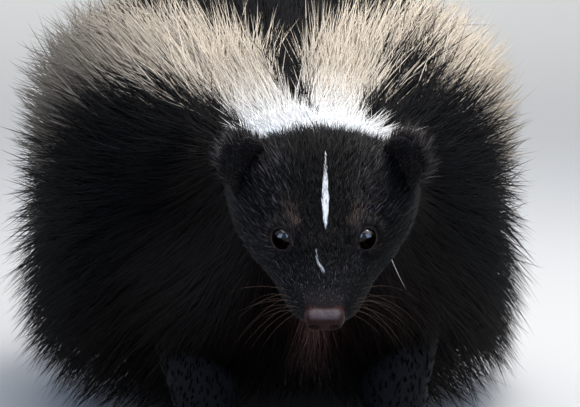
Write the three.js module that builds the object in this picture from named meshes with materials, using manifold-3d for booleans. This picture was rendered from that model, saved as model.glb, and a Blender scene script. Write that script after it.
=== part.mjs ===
// A life-size striped skunk that stands on all four feet, with its head lowered towards the viewer
// and its tail carried low behind. Millimetres, +Z up. The animal faces -Y, and +X is its left side.
// Each trunk length is a core under the long coat, with flat tapered locks fused into it.

import * as THREE from "three";
import { mergeVertices } from "three/addons/utils/BufferGeometryUtils.js";
import Module from "manifold-3d";

const wasm = await Module();
wasm.setup();

// Driving sizes
const GAP = 0.35; // clearance between touching pieces
const EYE_HEIGHT = 120; // eyes above the floor
const HEAD_SHIFT = 5; // the head is held this far to the animal's left of its spine
const HEAD_PITCH = THREE.MathUtils.degToRad(41); // nose below the level
const HEAD_YAW = THREE.MathUtils.degToRad(-4);
const CORE_SHARE = 0.45; // how much of the coat's depth the plain core fills
const CORE_BITE = 7; // how deep a stripe's band sinks into the core
const ROOT_DEPTH = 5; // how deep a lock's root sinks into the core

// The spine, from the back of the head to the end of the tail's plume. Each station is the centre of
// a section of the flesh, the tilt of that section, its half width, its reach up and down, the depth
// of the coat over it, and how square its lower half is, from 1 for round to 0.6 for a full skirt.
const STATIONS = [
  { part: "poll", x: 5, y: 28.8, z: 140.4, tilt: 41, wide: 30, up: 20, down: 21, coat: 6, skirt: 1 },
  { part: "nape", x: 5, y: 57, z: 134, tilt: 16, wide: 34, up: 23, down: 32, coat: 10, skirt: 0.95 },
  { part: "neck", x: 3, y: 88, z: 123, tilt: -4, wide: 43, up: 30, down: 42, coat: 14, skirt: 0.9 },
  { part: "shoulders", x: 1, y: 124, z: 110, tilt: -8, wide: 57, up: 44, down: 54, coat: 26, skirt: 0.7 },
  { part: "ribs", x: 0, y: 172, z: 101, tilt: -4, wide: 70, up: 56, down: 61, coat: 36, skirt: 0.5 },
  { part: "belly", x: 0, y: 226, z: 98, tilt: 0, wide: 78, up: 66, down: 57, coat: 43, skirt: 0.45 },
  { part: "loins", x: 0, y: 280, z: 100, tilt: 4, wide: 80, up: 68, down: 56, coat: 47, skirt: 0.48 },
  { part: "rump", x: 0, y: 330, z: 106, tilt: 6, wide: 70, up: 60, down: 51, coat: 47, skirt: 0.6 },
  { part: "tail_root", x: 0, y: 368, z: 118, tilt: 4, wide: 44, up: 38, down: 36, coat: 44, skirt: 0.85 },
  { part: "tail_set", x: 0, y: 400, z: 126, tilt: 0, wide: 18, up: 18, down: 18, coat: 42, skirt: 1 },
  { part: "tail_2", x: 0, y: 446, z: 129, tilt: -4, wide: 9, up: 9, down: 9, coat: 44, skirt: 1 },
  { part: "tail_3", x: 1, y: 500, z: 122, tilt: -12, wide: 8, up: 8, down: 8, coat: 46, skirt: 1 },
  { part: "tail_4", x: 3, y: 552, z: 106, tilt: -17, wide: 7, up: 7, down: 7, coat: 46, skirt: 1 },
  { part: "tail_5", x: 6, y: 600, z: 91, tilt: -15, wide: 5, up: 5, down: 5, coat: 42, skirt: 1 },
  { part: "tail_end", x: 9, y: 640, z: 82, tilt: -8, wide: 3, up: 3, down: 3, coat: 34, skirt: 1 },
  { part: "plume_tip", x: 12, y: 690, z: 78, tilt: 0, wide: 1, up: 1, down: 1, coat: 6, skirt: 1 },
];
const BELLY_COAT = 0.78; // share of the coat's depth that the underside has

// The white bands: how far each edge lies from the midline of the back, in degrees round the section,
// at each station from the poll to the tail root.
const BAND_INNER = [2, 2, 2, 3.5, 5.5, 22, 42, 56, 62, 60];
const BAND_OUTER = [64, 56, 33, 38, 50, 116, 118, 116, 112, 110];
const CAP_START = 0.5; // station where the white cap begins, behind the ears
const CAP_END = 1.5; // station where the white cap parts into two bands
const BAND_END = 8.4; // station where the bands end

// The head's outline over its short fur, in the head's own frame: eyes at its origin, nose to -y.
// Each station has the height of the top and of the underside, the half width, and its level.
const HEAD_STATIONS = [
  { y: -35, top: -2.4, under: -9, half: 5.2, level: -6 },
  { y: -33, top: -0.7, under: -11.6, half: 8.6, level: -6.5 },
  { y: -28.4, top: 1.8, under: -15.7, half: 12.6, level: -7.7 },
  { y: -19.2, top: 5.3, under: -20.5, half: 17.2, level: -9 },
  { y: -9.8, top: 8.9, under: -23.7, half: 21.4, level: -9.2 },
  { y: 0, top: 12.8, under: -26, half: 28.2, level: -8 },
  { y: 10, top: 16.6, under: -28, half: 33, level: -6.5 },
  { y: 20, top: 20, under: -29.5, half: 35.6, level: -5 },
  { y: 28, top: 22.2, under: -30, half: 36.4, level: -4 },
  { y: 35, top: 22.9, under: -30, half: 36.2, level: -3.6 },
];
const MOUTH_LINE = { front: -12.2, dip: -15, corner: -13.6, reach: 4 }; // heights, and where it ends
const LIP_OVERLAP = 1.6; // how far the upper lip hangs outside the lower jaw

const EYE = { x: 15.6, y: -2.2, z: 3.9, radius: 4.7, lidRing: 4.4, lidThick: 1, lidSeat: 2.5 };
const NOSE = { y: -33, z: -5.6, half: 7.3, deep: 5.2, high: 5 };
const EAR = { x: 30.5, y: 29, z: 12, wide: 10.5, high: 15.5, thick: 5.2, turn: 38 };
const BLAZE = { start: -3, end: 27, half: 1.7, thick: 1.6 };

const FORELEG = {
  shift: 4,
  path: [
    [38, 128, 84],
    [43, 134, 56],
    [43, 116, 31],
    [42, 102, 8],
  ],
  radii: [27, 24, 16, 13],
};
const FOREPAW = {
  shift: 4, x: 41, y: 93, half: 14, long: 19, high: 11,
  toeReach: 18, toeSize: 5.4, claw: 15,
};
const HINDLEG = {
  shift: 0,
  path: [
    [48, 300, 86],
    [58, 284, 60],
    [55, 306, 36],
    [53, 314, 9],
  ],
  radii: [36, 29, 17, 13],
};
const HINDPAW = {
  shift: 0, x: 53, y: 291, half: 14, long: 32, high: 11,
  toeReach: 31, toeSize: 5.4, claw: 9,
};
const TOES = [-2, -1, 0, 1, 2];
const TOE_SPREAD = 5.7;

// The locks of each length of the coat: the stations it covers, how many rows and how far apart the
// locks of a row are, each lock's length, width and thickness, and how far its tip droops.
const LOCKS = {
  nape_cap: { from: 0.65, to: 1.25, rows: 2, apart: 16, long: 26, wide: 14, thick: 4, droop: 0 },
  neck: { from: 0.8, to: 1.75, rows: 2, apart: 34, long: 46, wide: 27, thick: 5, droop: 2 },
  torso: { from: 2.2, to: 8.1, rows: 6, apart: 46, long: 96, wide: 37, thick: 8, droop: 5 },
  tail_base: { from: 8.8, to: 11.1, rows: 3, apart: 43, long: 92, wide: 32, thick: 7, droop: 9 },
  tail_plume: { from: 11.8, to: 13.7, rows: 3, apart: 42, long: 86, wide: 26, thick: 7, droop: 10 },
};

const COLOURS = {
  black: { color: 0x121215, roughness: 0.75, metalness: 0 },
  white: { color: 0xefe7d6, roughness: 0.8, metalness: 0 },
  nose: { color: 0x4a3532, roughness: 0.35, metalness: 0 },
  eye: { color: 0x070605, roughness: 0.08, metalness: 0 },
  claw: { color: 0xa89a86, roughness: 0.45, metalness: 0 },
};

// Geometry helpers
const vec = (x, y, z) => new THREE.Vector3(x, y, z);
const rad = THREE.MathUtils.degToRad;

// Seeded random numbers, the same on every run.
function randomFrom(seed) {
  let state = seed;
  return () => {
    state = (state * 1664525 + 1013904223) % 4294967296;
    return state / 4294967296;
  };
}

// A closed geometry as a solid for cutting and joining.
function solidOf(geometry) {
  const bare = geometry.clone();
  bare.deleteAttribute("normal");
  bare.deleteAttribute("uv");
  const merged = mergeVertices(bare, 1e-3);
  const index = merged.index.array;
  const kept = [];
  for (let i = 0; i < index.length; i += 3) {
    const [a, b, c] = [index[i], index[i + 1], index[i + 2]];
    if (a !== b && b !== c && a !== c) kept.push(a, b, c);
  }
  return new wasm.Manifold(
    new wasm.Mesh({
      numProp: 3,
      vertProperties: merged.attributes.position.array,
      triVerts: new Uint32Array(kept),
    }),
  );
}

// The solid's vertices and triangles as a geometry.
function geometryOf(solid) {
  const mesh = solid.getMesh();
  const geometry = new THREE.BufferGeometry();
  geometry.setAttribute("position", new THREE.BufferAttribute(mesh.vertProperties, 3));
  geometry.setIndex(new THREE.BufferAttribute(mesh.triVerts, 1));
  return geometry;
}

function joined(solids) {
  return wasm.Manifold.union(solids);
}

// The largest closed surface of a solid: loose scraps are dropped.
function largest(solid) {
  return solid.decompose().reduce((a, b) => (a.volume() > b.volume() ? a : b));
}

// Moves every vertex of a geometry to where place says.
function warp(geometry, place) {
  const position = geometry.attributes.position;
  const v = new THREE.Vector3();
  for (let i = 0; i < position.count; i++) {
    v.fromBufferAttribute(position, i);
    const moved = place(v);
    position.setXYZ(i, moved.x, moved.y, moved.z);
  }
  return geometry;
}

// The same geometry on the other side of the midline, facing out.
function mirrored(geometry) {
  const flipped = geometry.index ? geometry.toNonIndexed() : geometry.clone();
  const p = flipped.attributes.position;
  for (let i = 0; i < p.count; i += 3) {
    const [a, b, c] = [0, 1, 2].map((k) => vec(-p.getX(i + k), p.getY(i + k), p.getZ(i + k)));
    p.setXYZ(i, a.x, a.y, a.z);
    p.setXYZ(i + 1, c.x, c.y, c.z);
    p.setXYZ(i + 2, b.x, b.y, b.z);
  }
  return flipped;
}

const onSide = (geometry, side, shift = 0) =>
  (side > 0 ? geometry : mirrored(geometry)).translate(shift, 0, 0);

// A smooth curve through one or more numbers of each station, read at a station number.
function smooth(rows) {
  const curve = new THREE.CatmullRomCurve3(rows.map((r) => vec(...r)), false, "catmullrom", 0.5);
  return (s) => curve.getPoint(THREE.MathUtils.clamp(s / (rows.length - 1), 0, 1));
}

const centreAt = smooth(STATIONS.map((k) => [k.x, k.y, k.z]));
const reachAt = smooth(STATIONS.map((k) => [k.wide, k.up, k.down]));
const coverAt = smooth(STATIONS.map((k) => [k.coat, k.tilt, k.skirt]));
const bandAt = smooth(BAND_INNER.map((inner, i) => [inner, BAND_OUTER[i], 0]));

// The section's own axes at a station: across, along and up.
function axesAt(s) {
  const tilt = rad(coverAt(s).y);
  return {
    across: vec(1, 0, 0),
    along: vec(0, Math.cos(tilt), Math.sin(tilt)),
    up: vec(0, -Math.sin(tilt), Math.cos(tilt)),
  };
}

// The coat's depth at a station and an angle from the midline of the back.
function coatAt(s, angle) {
  const below = THREE.MathUtils.smoothstep(-Math.cos(angle), 0, 0.9);
  return coverAt(s).x * (1 - (1 - BELLY_COAT) * below);
}

// How far out a rounded square reaches at an angle: power 2 is a circle, more is squarer.
function squareOut(angle, power) {
  return (Math.abs(Math.sin(angle)) ** power + Math.abs(Math.cos(angle)) ** power) ** (-1 / power);
}

// A point of the trunk: a station, an angle from the midline of the back, a height over the flesh
// and how far out from the section's centre.
function trunkPoint(s, angle, lift, out = 1) {
  const { across, up } = axesAt(s);
  const reach = reachAt(s);
  const below = Math.cos(angle) < 0;
  const high = (below ? reach.z : reach.y) + lift;
  const square = below ? coverAt(s).z : 1 - (1 - coverAt(s).z) * 0.35;
  const far = out * squareOut(angle, 2 / square);
  return centreAt(s)
    .addScaledVector(across, far * (reach.x + lift) * Math.sin(angle))
    .addScaledVector(up, far * high * Math.cos(angle));
}

// A closed length of the trunk between two stations, grown or shrunk by extra all over.
function trunkLength(from, to, round, rings, share, extra = 0) {
  const tube = new THREE.CylinderGeometry(1, 1, 1, round, rings);
  const stretch = extra / centreAt(from).distanceTo(centreAt(from + 1));
  return warp(tube, (v) => {
    const s = THREE.MathUtils.lerp(from - stretch, to + stretch, v.y + 0.5);
    const angle = Math.atan2(v.x, v.z);
    return trunkPoint(s, angle, coatAt(s, angle) * share + extra, Math.hypot(v.x, v.z));
  });
}

// A band of the coat's core between two edges, as deep as CORE_BITE. As a cutter it is grown by extra
// all round, stands over the surface by over, goes down by deeper and starts ahead by lead stations.
function coatBand(from, to, edges, across, along, { extra = 0, over = 0, deeper = 0, lead = 0 } = {}) {
  const sheet = new THREE.BoxGeometry(1, 1, 1, across, along, 1);
  return warp(sheet, (v) => {
    const ends = v.y > 0.499 ? extra / 40 : v.y < -0.499 ? -lead : 0;
    const s = THREE.MathUtils.lerp(from, to, v.y + 0.5) + ends;
    const [low, high] = edges(s);
    const pad = extra / reachAt(s).x;
    const angle = rad(THREE.MathUtils.lerp(low, high, v.x + 0.5)) + 2 * pad * v.x;
    const surface = coatAt(s, angle) * CORE_SHARE;
    return trunkPoint(s, angle, v.z > 0 ? surface + over : surface - CORE_BITE - deeper);
  });
}

// One flat, tapered lock that leaves the core at a station and an angle, rises through the coat along
// its lie, bends aside by sway degrees, and ends in a point. Its section is a flat triangle with the
// ridge outside. As a cutter it is grown by extra, and its two sharp edges get a face of their own.
function lock({ s, angle, long, wide, thick, sway, droop, root }, extra = 0) {
  const horn = new THREE.ConeGeometry(1, 1, extra ? 5 : 3, 4);
  const pace = centreAt(s + 0.5).distanceTo(centreAt(s - 0.5));
  const path = (t) => {
    const at = s + (long * t) / pace;
    const turn = angle + rad(sway) * t * t;
    const depth = coatAt(at, turn);
    const low = depth * CORE_SHARE - root;
    const spot = trunkPoint(at, turn, low + (depth - low) * Math.sin((Math.PI / 2) * t));
    spot.z = Math.max(spot.z - droop * t * t, 3 - 2 * t);
    return spot;
  };
  return warp(horn, (v) => {
    const t = v.y + 0.5;
    const here = path(t);
    const along = path(t + 0.05).sub(path(t - 0.05)).normalize();
    const out = trunkPoint(s + (long * t) / pace, angle, 20).sub(trunkPoint(s + (long * t) / pace, angle, 0));
    const side = new THREE.Vector3().crossVectors(along, out).normalize();
    const face = new THREE.Vector3().crossVectors(side, along);
    const ridge = v.z / (Math.hypot(v.x, v.z) || 1);
    const edge = Math.abs(v.x) > 0.001 ? Math.sign(v.x) : 0;
    const broad = 0.43 * wide * Math.sin(Math.PI * (0.2 + 0.8 * t));
    const deep = (thick / 4) * (1 - 0.6 * t);
    const level = ridge > 0.9 ? 2 * deep + extra : -deep + extra * Math.sign(ridge);
    return here
      .addScaledVector(along, extra * (2 * t - 1))
      .addScaledVector(side, t > 0.999 ? 0 : edge * (broad + extra))
      .addScaledVector(face, t > 0.999 ? 0 : level);
  });
}

// The rows of locks over a length of the coat, set out evenly and then varied by a seed. Each keeps the
// angle of its root from the midline, which says what colour it is.
function lockRows({ from, to, rows, apart, long, wide, thick, droop }, seed) {
  const random = randomFrom(seed);
  const vary = (share) => 1 + share * (2 * random() - 1);
  const locks = [];
  for (let row = 0; row < rows; row++) {
    const s = THREE.MathUtils.lerp(from, to, rows > 1 ? row / (rows - 1) : 0);
    const reach = reachAt(s);
    const girth = Math.PI * (reach.x + (reach.y + reach.z) / 2 + 2 * CORE_SHARE * coverAt(s).x);
    const count = Math.max(4, Math.round(girth / apart));
    for (let i = 0; i < count; i++) {
      const turn = (i + (row % 2) / 2 + 0.12 * (2 * random() - 1)) / count;
      const angle = 2 * Math.PI * (turn > 0.5 ? turn - 1 : turn);
      locks.push({
        s: s + 0.1 * (2 * random() - 1),
        angle,
        long: long * vary(0.12),
        wide: wide * vary(0.15),
        thick,
        sway: 9 * (2 * random() - 1),
        droop,
        root: ROOT_DEPTH,
      });
    }
  }
  return locks;
}

// Head
const headAt = smooth(HEAD_STATIONS.map((k) => [k.top, k.under, k.half]));
const headLevelAt = smooth(HEAD_STATIONS.map((k) => [k.y, k.level, 0]));

// The head's outline as one closed loft, narrowed and grown as asked.
function headLoft({ narrower = 0, extra = 0, round = 22, rings = 14 } = {}) {
  const tube = new THREE.CylinderGeometry(1, 1, 1, round, rings);
  const last = HEAD_STATIONS.length - 1;
  return warp(tube, (v) => {
    const t = v.y + 0.5;
    const s = last * t;
    const size = headAt(s);
    const row = headLevelAt(s);
    const out = Math.hypot(v.x, v.z);
    const angle = Math.atan2(v.x, v.z);
    const far = out * squareOut(angle, 2.25);
    const high = Math.cos(angle) > 0 ? size.x - row.y + extra : row.y - size.y + extra;
    const along = row.x + (v.y > 0.499 ? extra : v.y < -0.499 ? -extra : 0);
    return vec(
      far * (size.z - narrower + extra) * Math.sin(angle),
      along,
      row.y + far * high * Math.cos(angle),
    );
  });
}

// The space of the lower jaw, under the line of the mouth.
function jawSpace(extra = 0) {
  const block = new THREE.BoxGeometry(1, 1, 1, 1, 6, 1);
  return warp(block, (v) => {
    const t = v.y + 0.5;
    const y = THREE.MathUtils.lerp(-43 - extra, MOUTH_LINE.reach + extra, t);
    const line =
      MOUTH_LINE.front * (1 - t) ** 2 + 2 * MOUTH_LINE.dip * t * (1 - t) + MOUTH_LINE.corner * t ** 2;
    return vec(v.x * 100, y, v.z > 0 ? line + extra : -60);
  });
}

function ellipsoid(centre, sizes, turn = [0, 0, 0], detail = 20) {
  const ball = new THREE.SphereGeometry(1, detail, Math.round(detail * 0.6));
  const pose = new THREE.Matrix4().compose(
    centre,
    new THREE.Quaternion().setFromEuler(new THREE.Euler(...turn.map(rad))),
    vec(...sizes),
  );
  return ball.applyMatrix4(pose);
}

const eyeFacing = vec(0.56, -0.7, 0.44).normalize();

function eyeball(side, extra = 0) {
  const ball = new THREE.SphereGeometry(EYE.radius + extra, 12, 7);
  return onSide(ball.translate(EYE.x, EYE.y, EYE.z), side);
}

// The ring of the lids round an eye, pinched to a point at its inner corner.
function lids(side) {
  const ring = new THREE.TorusGeometry(EYE.lidRing, EYE.lidThick, 5, 12);
  const facing = new THREE.Quaternion().setFromUnitVectors(vec(0, 0, 1), eyeFacing);
  const seat = vec(EYE.x, EYE.y, EYE.z).addScaledVector(eyeFacing, EYE.lidSeat);
  return onSide(ring.applyQuaternion(facing).translate(...seat.toArray()), side);
}

// The shallow basin in the face in front of an eye.
function basin(side) {
  const dish = new THREE.SphereGeometry(1, 12, 6).scale(5.6, 5.6, 3.4);
  const facing = new THREE.Quaternion().setFromUnitVectors(vec(0, 0, 1), eyeFacing);
  const seat = vec(EYE.x, EYE.y, EYE.z).addScaledVector(eyeFacing, EYE.lidSeat + 3.2);
  return onSide(dish.applyQuaternion(facing).translate(...seat.toArray()), side);
}

// The nose pad, flat-topped and wider than it is high, grown as asked.
function nosePad(extra = 0) {
  const ball = new THREE.SphereGeometry(1, 12, 8);
  return warp(ball, (v) => {
    const soft = (x) => Math.sign(x) * Math.abs(x) ** 0.75;
    return vec(
      soft(v.x) * (NOSE.half + extra),
      NOSE.y + soft(v.y) * (NOSE.deep + extra),
      NOSE.z + soft(v.z) * (NOSE.high + extra),
    );
  });
}

// A nostril: a round mouth that opens forward, with a slit that curls out to the side.
function nostril(side) {
  const mouth = solidOf(ellipsoid(vec(3.3, NOSE.y - 5, NOSE.z - 1), [1.9, 3.4, 1.6], [0, 0, 12], 8));
  const slit = solidOf(ellipsoid(vec(6.4, NOSE.y - 2, NOSE.z - 2), [2.6, 3.2, 0.8], [0, 12, 35], 8));
  const both = mouth.add(slit);
  return side > 0 ? both : solidOf(mirrored(geometryOf(both)));
}

// An ear's flap, a rounded leaf with its cup hollowed out of the front.
function earFlap(side, extra = 0) {
  const seat = vec(EAR.x, EAR.y, EAR.z);
  const turn = [-12, 10, -EAR.turn];
  const flap = ellipsoid(seat, [EAR.wide + extra, EAR.thick + extra, EAR.high + extra], turn, 12);
  return onSide(flap, side);
}

function earCup(side) {
  const seat = vec(EAR.x, EAR.y, EAR.z);
  const front = vec(0, -1, 0).applyEuler(new THREE.Euler(...[-12, 10, -EAR.turn].map(rad)));
  seat.addScaledVector(front, 4.4);
  const cup = ellipsoid(seat, [EAR.wide - 2.4, EAR.thick, EAR.high - 2.6], [-12, 10, -EAR.turn], 10);
  return onSide(cup, side);
}

// The white blaze, a thin leaf let into the forehead along the midline.
function blazeLeaf(extra = 0) {
  const leaf = new THREE.BoxGeometry(1, 1, 1, 2, 8, 1);
  const last = HEAD_STATIONS.length - 1;
  return warp(leaf, (v) => {
    const t = v.y + 0.5;
    const y = THREE.MathUtils.lerp(BLAZE.start - extra, BLAZE.end + extra, t);
    const s = stationOfHead(y, last);
    const top = headAt(s).x;
    const half = BLAZE.half * (0.12 + Math.sin(Math.PI * (0.12 + 0.8 * t))) + extra;
    const sag = (v.x * 2 * half) ** 2 * 0.012;
    return vec(v.x * 2 * half, y, v.z > 0 ? top + 0.5 - sag + extra : top - BLAZE.thick - extra);
  });
}

// The station number of the head at a place along it.
function stationOfHead(y, last) {
  let low = 0;
  let high = last;
  for (let i = 0; i < 30; i++) {
    const mid = (low + high) / 2;
    if (headLevelAt(mid).x < y) low = mid;
    else high = mid;
  }
  return (low + high) / 2;
}

// Legs
// A limb along a bent path whose thickness changes from joint to joint.
function limb({ path, radii, shift }, side, extra = 0) {
  const curve = new THREE.CatmullRomCurve3(path.map((p) => vec(...p)));
  const last = path.length - 1;
  const sizes = smooth(radii.map((r) => [r, 0, 0]));
  const tube = new THREE.CylinderGeometry(1, 1, 1, 9, 4);
  const leg = warp(tube, (v) => {
    const t = v.y + 0.5;
    const along = curve.getTangent(t);
    const out = vec(1, 0, 0).addScaledVector(along, -along.x).normalize();
    const front = new THREE.Vector3().crossVectors(out, along);
    const size = sizes(t * last).x + extra;
    return curve.getPoint(t).addScaledVector(out, v.x * size).addScaledVector(front, v.z * size);
  });
  return solidOf(onSide(leg, side, shift));
}

// A paw with five toes, flat under its sole.
function paw(foot, side, extra = 0) {
  const ball = (centre, sizes, detail) =>
    solidOf(onSide(ellipsoid(centre, sizes.map((x) => x + extra), [0, 0, 0], detail), side, foot.shift));
  const pad = ball(vec(foot.x, foot.y, foot.high * 0.45), [foot.half, foot.long, foot.high * 0.62], 8);
  const toes = TOES.map((k) => ball(toeSeat(foot, k), [3.1, foot.toeSize * 1.35, 4.4], 6));
  const floor = solidOf(new THREE.BoxGeometry(400, 900, 60).translate(0, 200, -30 - extra));
  return joined([pad, ...toes]).subtract(floor);
}

const toeSeat = (foot, k) => vec(foot.x + k * TOE_SPREAD, foot.y - foot.toeReach + k * k * 1.5, 3.6);

// A claw that curves forward and down from a toe, its tip just above the floor.
function claw(foot, k, side, extra = 0) {
  const horn = new THREE.ConeGeometry(1, 1, 4, 3);
  const seat = toeSeat(foot, k).add(vec(0, -foot.toeSize * 0.9, 1.4));
  const size = foot.claw * (1 - 0.09 * k * k);
  return onSide(
    warp(horn, (v) => {
      const t = v.y + 0.5;
      const drop = 3.4 * t * t + 0.4 * t;
      return vec(
        seat.x + v.x * (1.5 + extra),
        seat.y - size * t - extra * (2 * t - 1),
        seat.z - drop + v.z * -(1.9 + extra),
      );
    }),
    side,
    foot.shift,
  );
}

// A mesh for one named part.
function node(name, solid, finish) {
  const mesh = new THREE.Mesh(geometryOf(solid), new THREE.MeshStandardMaterial(COLOURS[finish]));
  mesh.name = name;
  return mesh;
}

// Builds the head's pieces in the head's own frame, and returns them with the head's solid.
function makeHead() {
  const sides = [
    ["left", 1],
    ["right", -1],
  ];
  const group = new THREE.Group();
  group.position.set(HEAD_SHIFT, 0, EYE_HEIGHT);
  group.rotation.set(HEAD_PITCH, 0, HEAD_YAW, "ZYX");
  group.updateMatrix();

  const whole = solidOf(headLoft());
  const brows = sides.map(([, side]) => solidOf(lids(side)));
  let head = joined([whole.subtract(joined(sides.map(([, side]) => solidOf(basin(side))))), ...brows]);
  const eyes = sides.map(([, side]) => solidOf(eyeball(side)));
  sides.forEach(([, side]) => {
    head = head.subtract(solidOf(eyeball(side, GAP)));
  });
  head = head.subtract(solidOf(jawSpace(GAP))).subtract(solidOf(blazeLeaf(GAP)));
  head = head.subtract(solidOf(nosePad(GAP)));
  head = largest(head);

  const jaw = largest(
    solidOf(headLoft({ narrower: LIP_OVERLAP }))
      .intersect(solidOf(jawSpace()))
      .subtract(solidOf(nosePad(GAP))),
  );
  const nose = largest(solidOf(nosePad()).subtract(joined([nostril(1), nostril(-1)])));
  const blaze = solidOf(blazeLeaf());
  group.add(node("head", head, "black"), node("lower_jaw", jaw, "black"));
  group.add(node("nose", nose, "nose"), node("blaze", blaze, "white"));
  const grown = solidOf(headLoft({ extra: GAP }));
  const solids = [grown];
  sides.forEach(([word, side], i) => {
    const ear = largest(solidOf(earFlap(side)).subtract(solidOf(earCup(side))).subtract(grown));
    group.add(node("ear_" + word, ear, "black"), node("eye_" + word, eyes[i], "eye"));
    solids.push(solidOf(earFlap(side, GAP)));
  });
  return { group, taken: joined(solids).transform(group.matrix.elements) };
}

const head = makeHead();
const animal = new THREE.Group();
animal.add(head.group);

// Legs and claws
const core = joined([
  solidOf(trunkLength(0.02, 2, 20, 4, CORE_SHARE, GAP)),
  solidOf(trunkLength(2, BAND_END, 18, 8, CORE_SHARE, GAP)),
]);
const legsTaken = [];
const LEGS = [
  ["foreleg", FORELEG, FOREPAW],
  ["hindleg", HINDLEG, HINDPAW],
];
for (const [kind, bones, foot] of LEGS) {
  for (const [word, side] of [
    ["left", 1],
    ["right", -1],
  ]) {
    const claws = TOES.map((k) => claw(foot, k, side));
    const clawsGrown = TOES.map((k) => solidOf(claw(foot, k, side, GAP)));
    const shape = (extra) => joined([limb(bones, side, extra), paw(foot, side, extra)]);
    const leg = largest(shape(0).subtract(core).subtract(joined(clawsGrown)));
    animal.add(node(kind + "_" + word, leg, "black"));
    claws.forEach((horn, i) => {
      animal.add(node("claw_" + kind + "_" + word + "_" + (i + 1), solidOf(horn), "claw"));
    });
    legsTaken.push(shape(GAP));
  }
}

// Trunk
const capEdges = (s) => [-bandAt(s).y, bandAt(s).y];
const bandEdges = (side) => (s) =>
  side > 0 ? [bandAt(s).x, bandAt(s).y] : [-bandAt(s).y, -bandAt(s).x];
const GAP_IN_STATIONS = GAP / 50;
const TAIL_SPLIT = 11.5; // station where the tail parts into its base and its plume
const TAIL_CORE_END = 14.6; // the plume goes on past this as locks only

const cap = (cut) => solidOf(coatBand(CAP_START, CAP_END, capEdges, 8, 4, cut));
const band = (side, cut) =>
  solidOf(coatBand(CAP_END + GAP_IN_STATIONS * 2, BAND_END, bandEdges(side), 4, 16, cut));
const capCut = { extra: GAP, over: 3, deeper: GAP, lead: GAP / 40 };
const bandCut = { extra: 1.3, over: 2, deeper: 2 * GAP, lead: 0.02 };

// Whether a lock's root is well inside a white band of its own side, and so is white.
function isWhite({ s, angle }) {
  const degrees = Math.abs(THREE.MathUtils.radToDeg(angle));
  const edge = s < CAP_END ? 0 : bandAt(s).x;
  return s < BAND_END - 0.15 && degrees > edge + 1 && degrees < bandAt(s).y - 1;
}

const locksOf = (kind, seed, keep = () => true) => lockRows(LOCKS[kind], seed).filter(keep);
const bodyLocks = locksOf("torso", 11);
const neckLocks = locksOf("neck", 5);
const plumeLocks = locksOf("tail_plume", 9);
const tuft = [0, 1, 2].map((i) => ({
  s: 14.1,
  angle: (Math.PI * (2 * i - 1)) / 3,
  long: 66,
  wide: 15,
  thick: 6,
  sway: 6,
  droop: 6,
  root: 12,
}));
const onFlank = (side) => (k) => isWhite(k) && k.s > CAP_END && Math.sign(k.angle) === side;
const lengthOf = (from, to, round, rings) => (extra) =>
  solidOf(trunkLength(from, to, round, rings, CORE_SHARE, extra));
const upperLocks = [...neckLocks, ...bodyLocks];
const coats = [
  {
    name: "nape_cap",
    finish: "white",
    core: (extra) => cap(extra ? capCut : undefined),
    locks: locksOf("nape_cap", 3, isWhite),
  },
  {
    name: "stripe_left",
    finish: "white",
    core: (extra) => band(1, extra ? bandCut : undefined),
    locks: upperLocks.filter(onFlank(1)),
  },
  {
    name: "stripe_right",
    finish: "white",
    core: (extra) => band(-1, extra ? bandCut : undefined),
    locks: upperLocks.filter(onFlank(-1)),
  },
  {
    name: "neck",
    finish: "black",
    core: lengthOf(0.02, 2 - GAP_IN_STATIONS, 20, 4),
    locks: neckLocks.filter((k) => !isWhite(k)),
  },
  {
    name: "torso",
    finish: "black",
    core: lengthOf(2, BAND_END, 18, 8),
    locks: bodyLocks.filter((k) => !isWhite(k)),
  },
  {
    name: "tail_base",
    finish: "black",
    core: lengthOf(BAND_END + 2 * GAP_IN_STATIONS, TAIL_SPLIT, 14, 5),
    locks: locksOf("tail_base", 7),
  },
  {
    name: "tail_plume",
    finish: "black",
    core: lengthOf(TAIL_SPLIT + GAP_IN_STATIONS, TAIL_CORE_END, 12, 5),
    locks: [...plumeLocks, ...tuft],
  },
];

// Each length of the coat is cut clear of what is already in its place.
const legsGrown = joined(legsTaken);
let taken = head.taken;
for (const { name, finish, core: coreOf, locks } of coats) {
  const hairs = joined(locks.map((k) => solidOf(lock(k)))).subtract(legsGrown);
  const solid = largest(coreOf(0).add(hairs).subtract(taken));
  animal.add(node(name, solid, finish));
  taken = joined([taken, coreOf(GAP), ...locks.map((k) => solidOf(lock(k, GAP)))]);
}

// The origin is on the floor, under the middle of the animal's outline.
const outline = new THREE.Box3().setFromObject(animal, true);
const middle = outline.getCenter(vec(0, 0, 0));
animal.position.set(-middle.x, -middle.y, -outline.min.z);

export default animal;
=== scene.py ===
"""A life-size striped skunk that stands with its head lowered towards the camera.

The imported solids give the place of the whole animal. This script lays one skin inside their flesh
and grows the coat on it as joined meshes of thin tapered tufts that follow the lie of the hair. The
animal faces -Y, +X is its left side and +Z is up. Sizes in the classes are millimetres, and MM turns
them into the metres of the scene.
"""

import logging
import math
import sys
from dataclasses import dataclass
from enum import Enum
from typing import Callable, Sequence

import bpy
import numpy as np
from mathutils import Matrix, Vector

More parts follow.
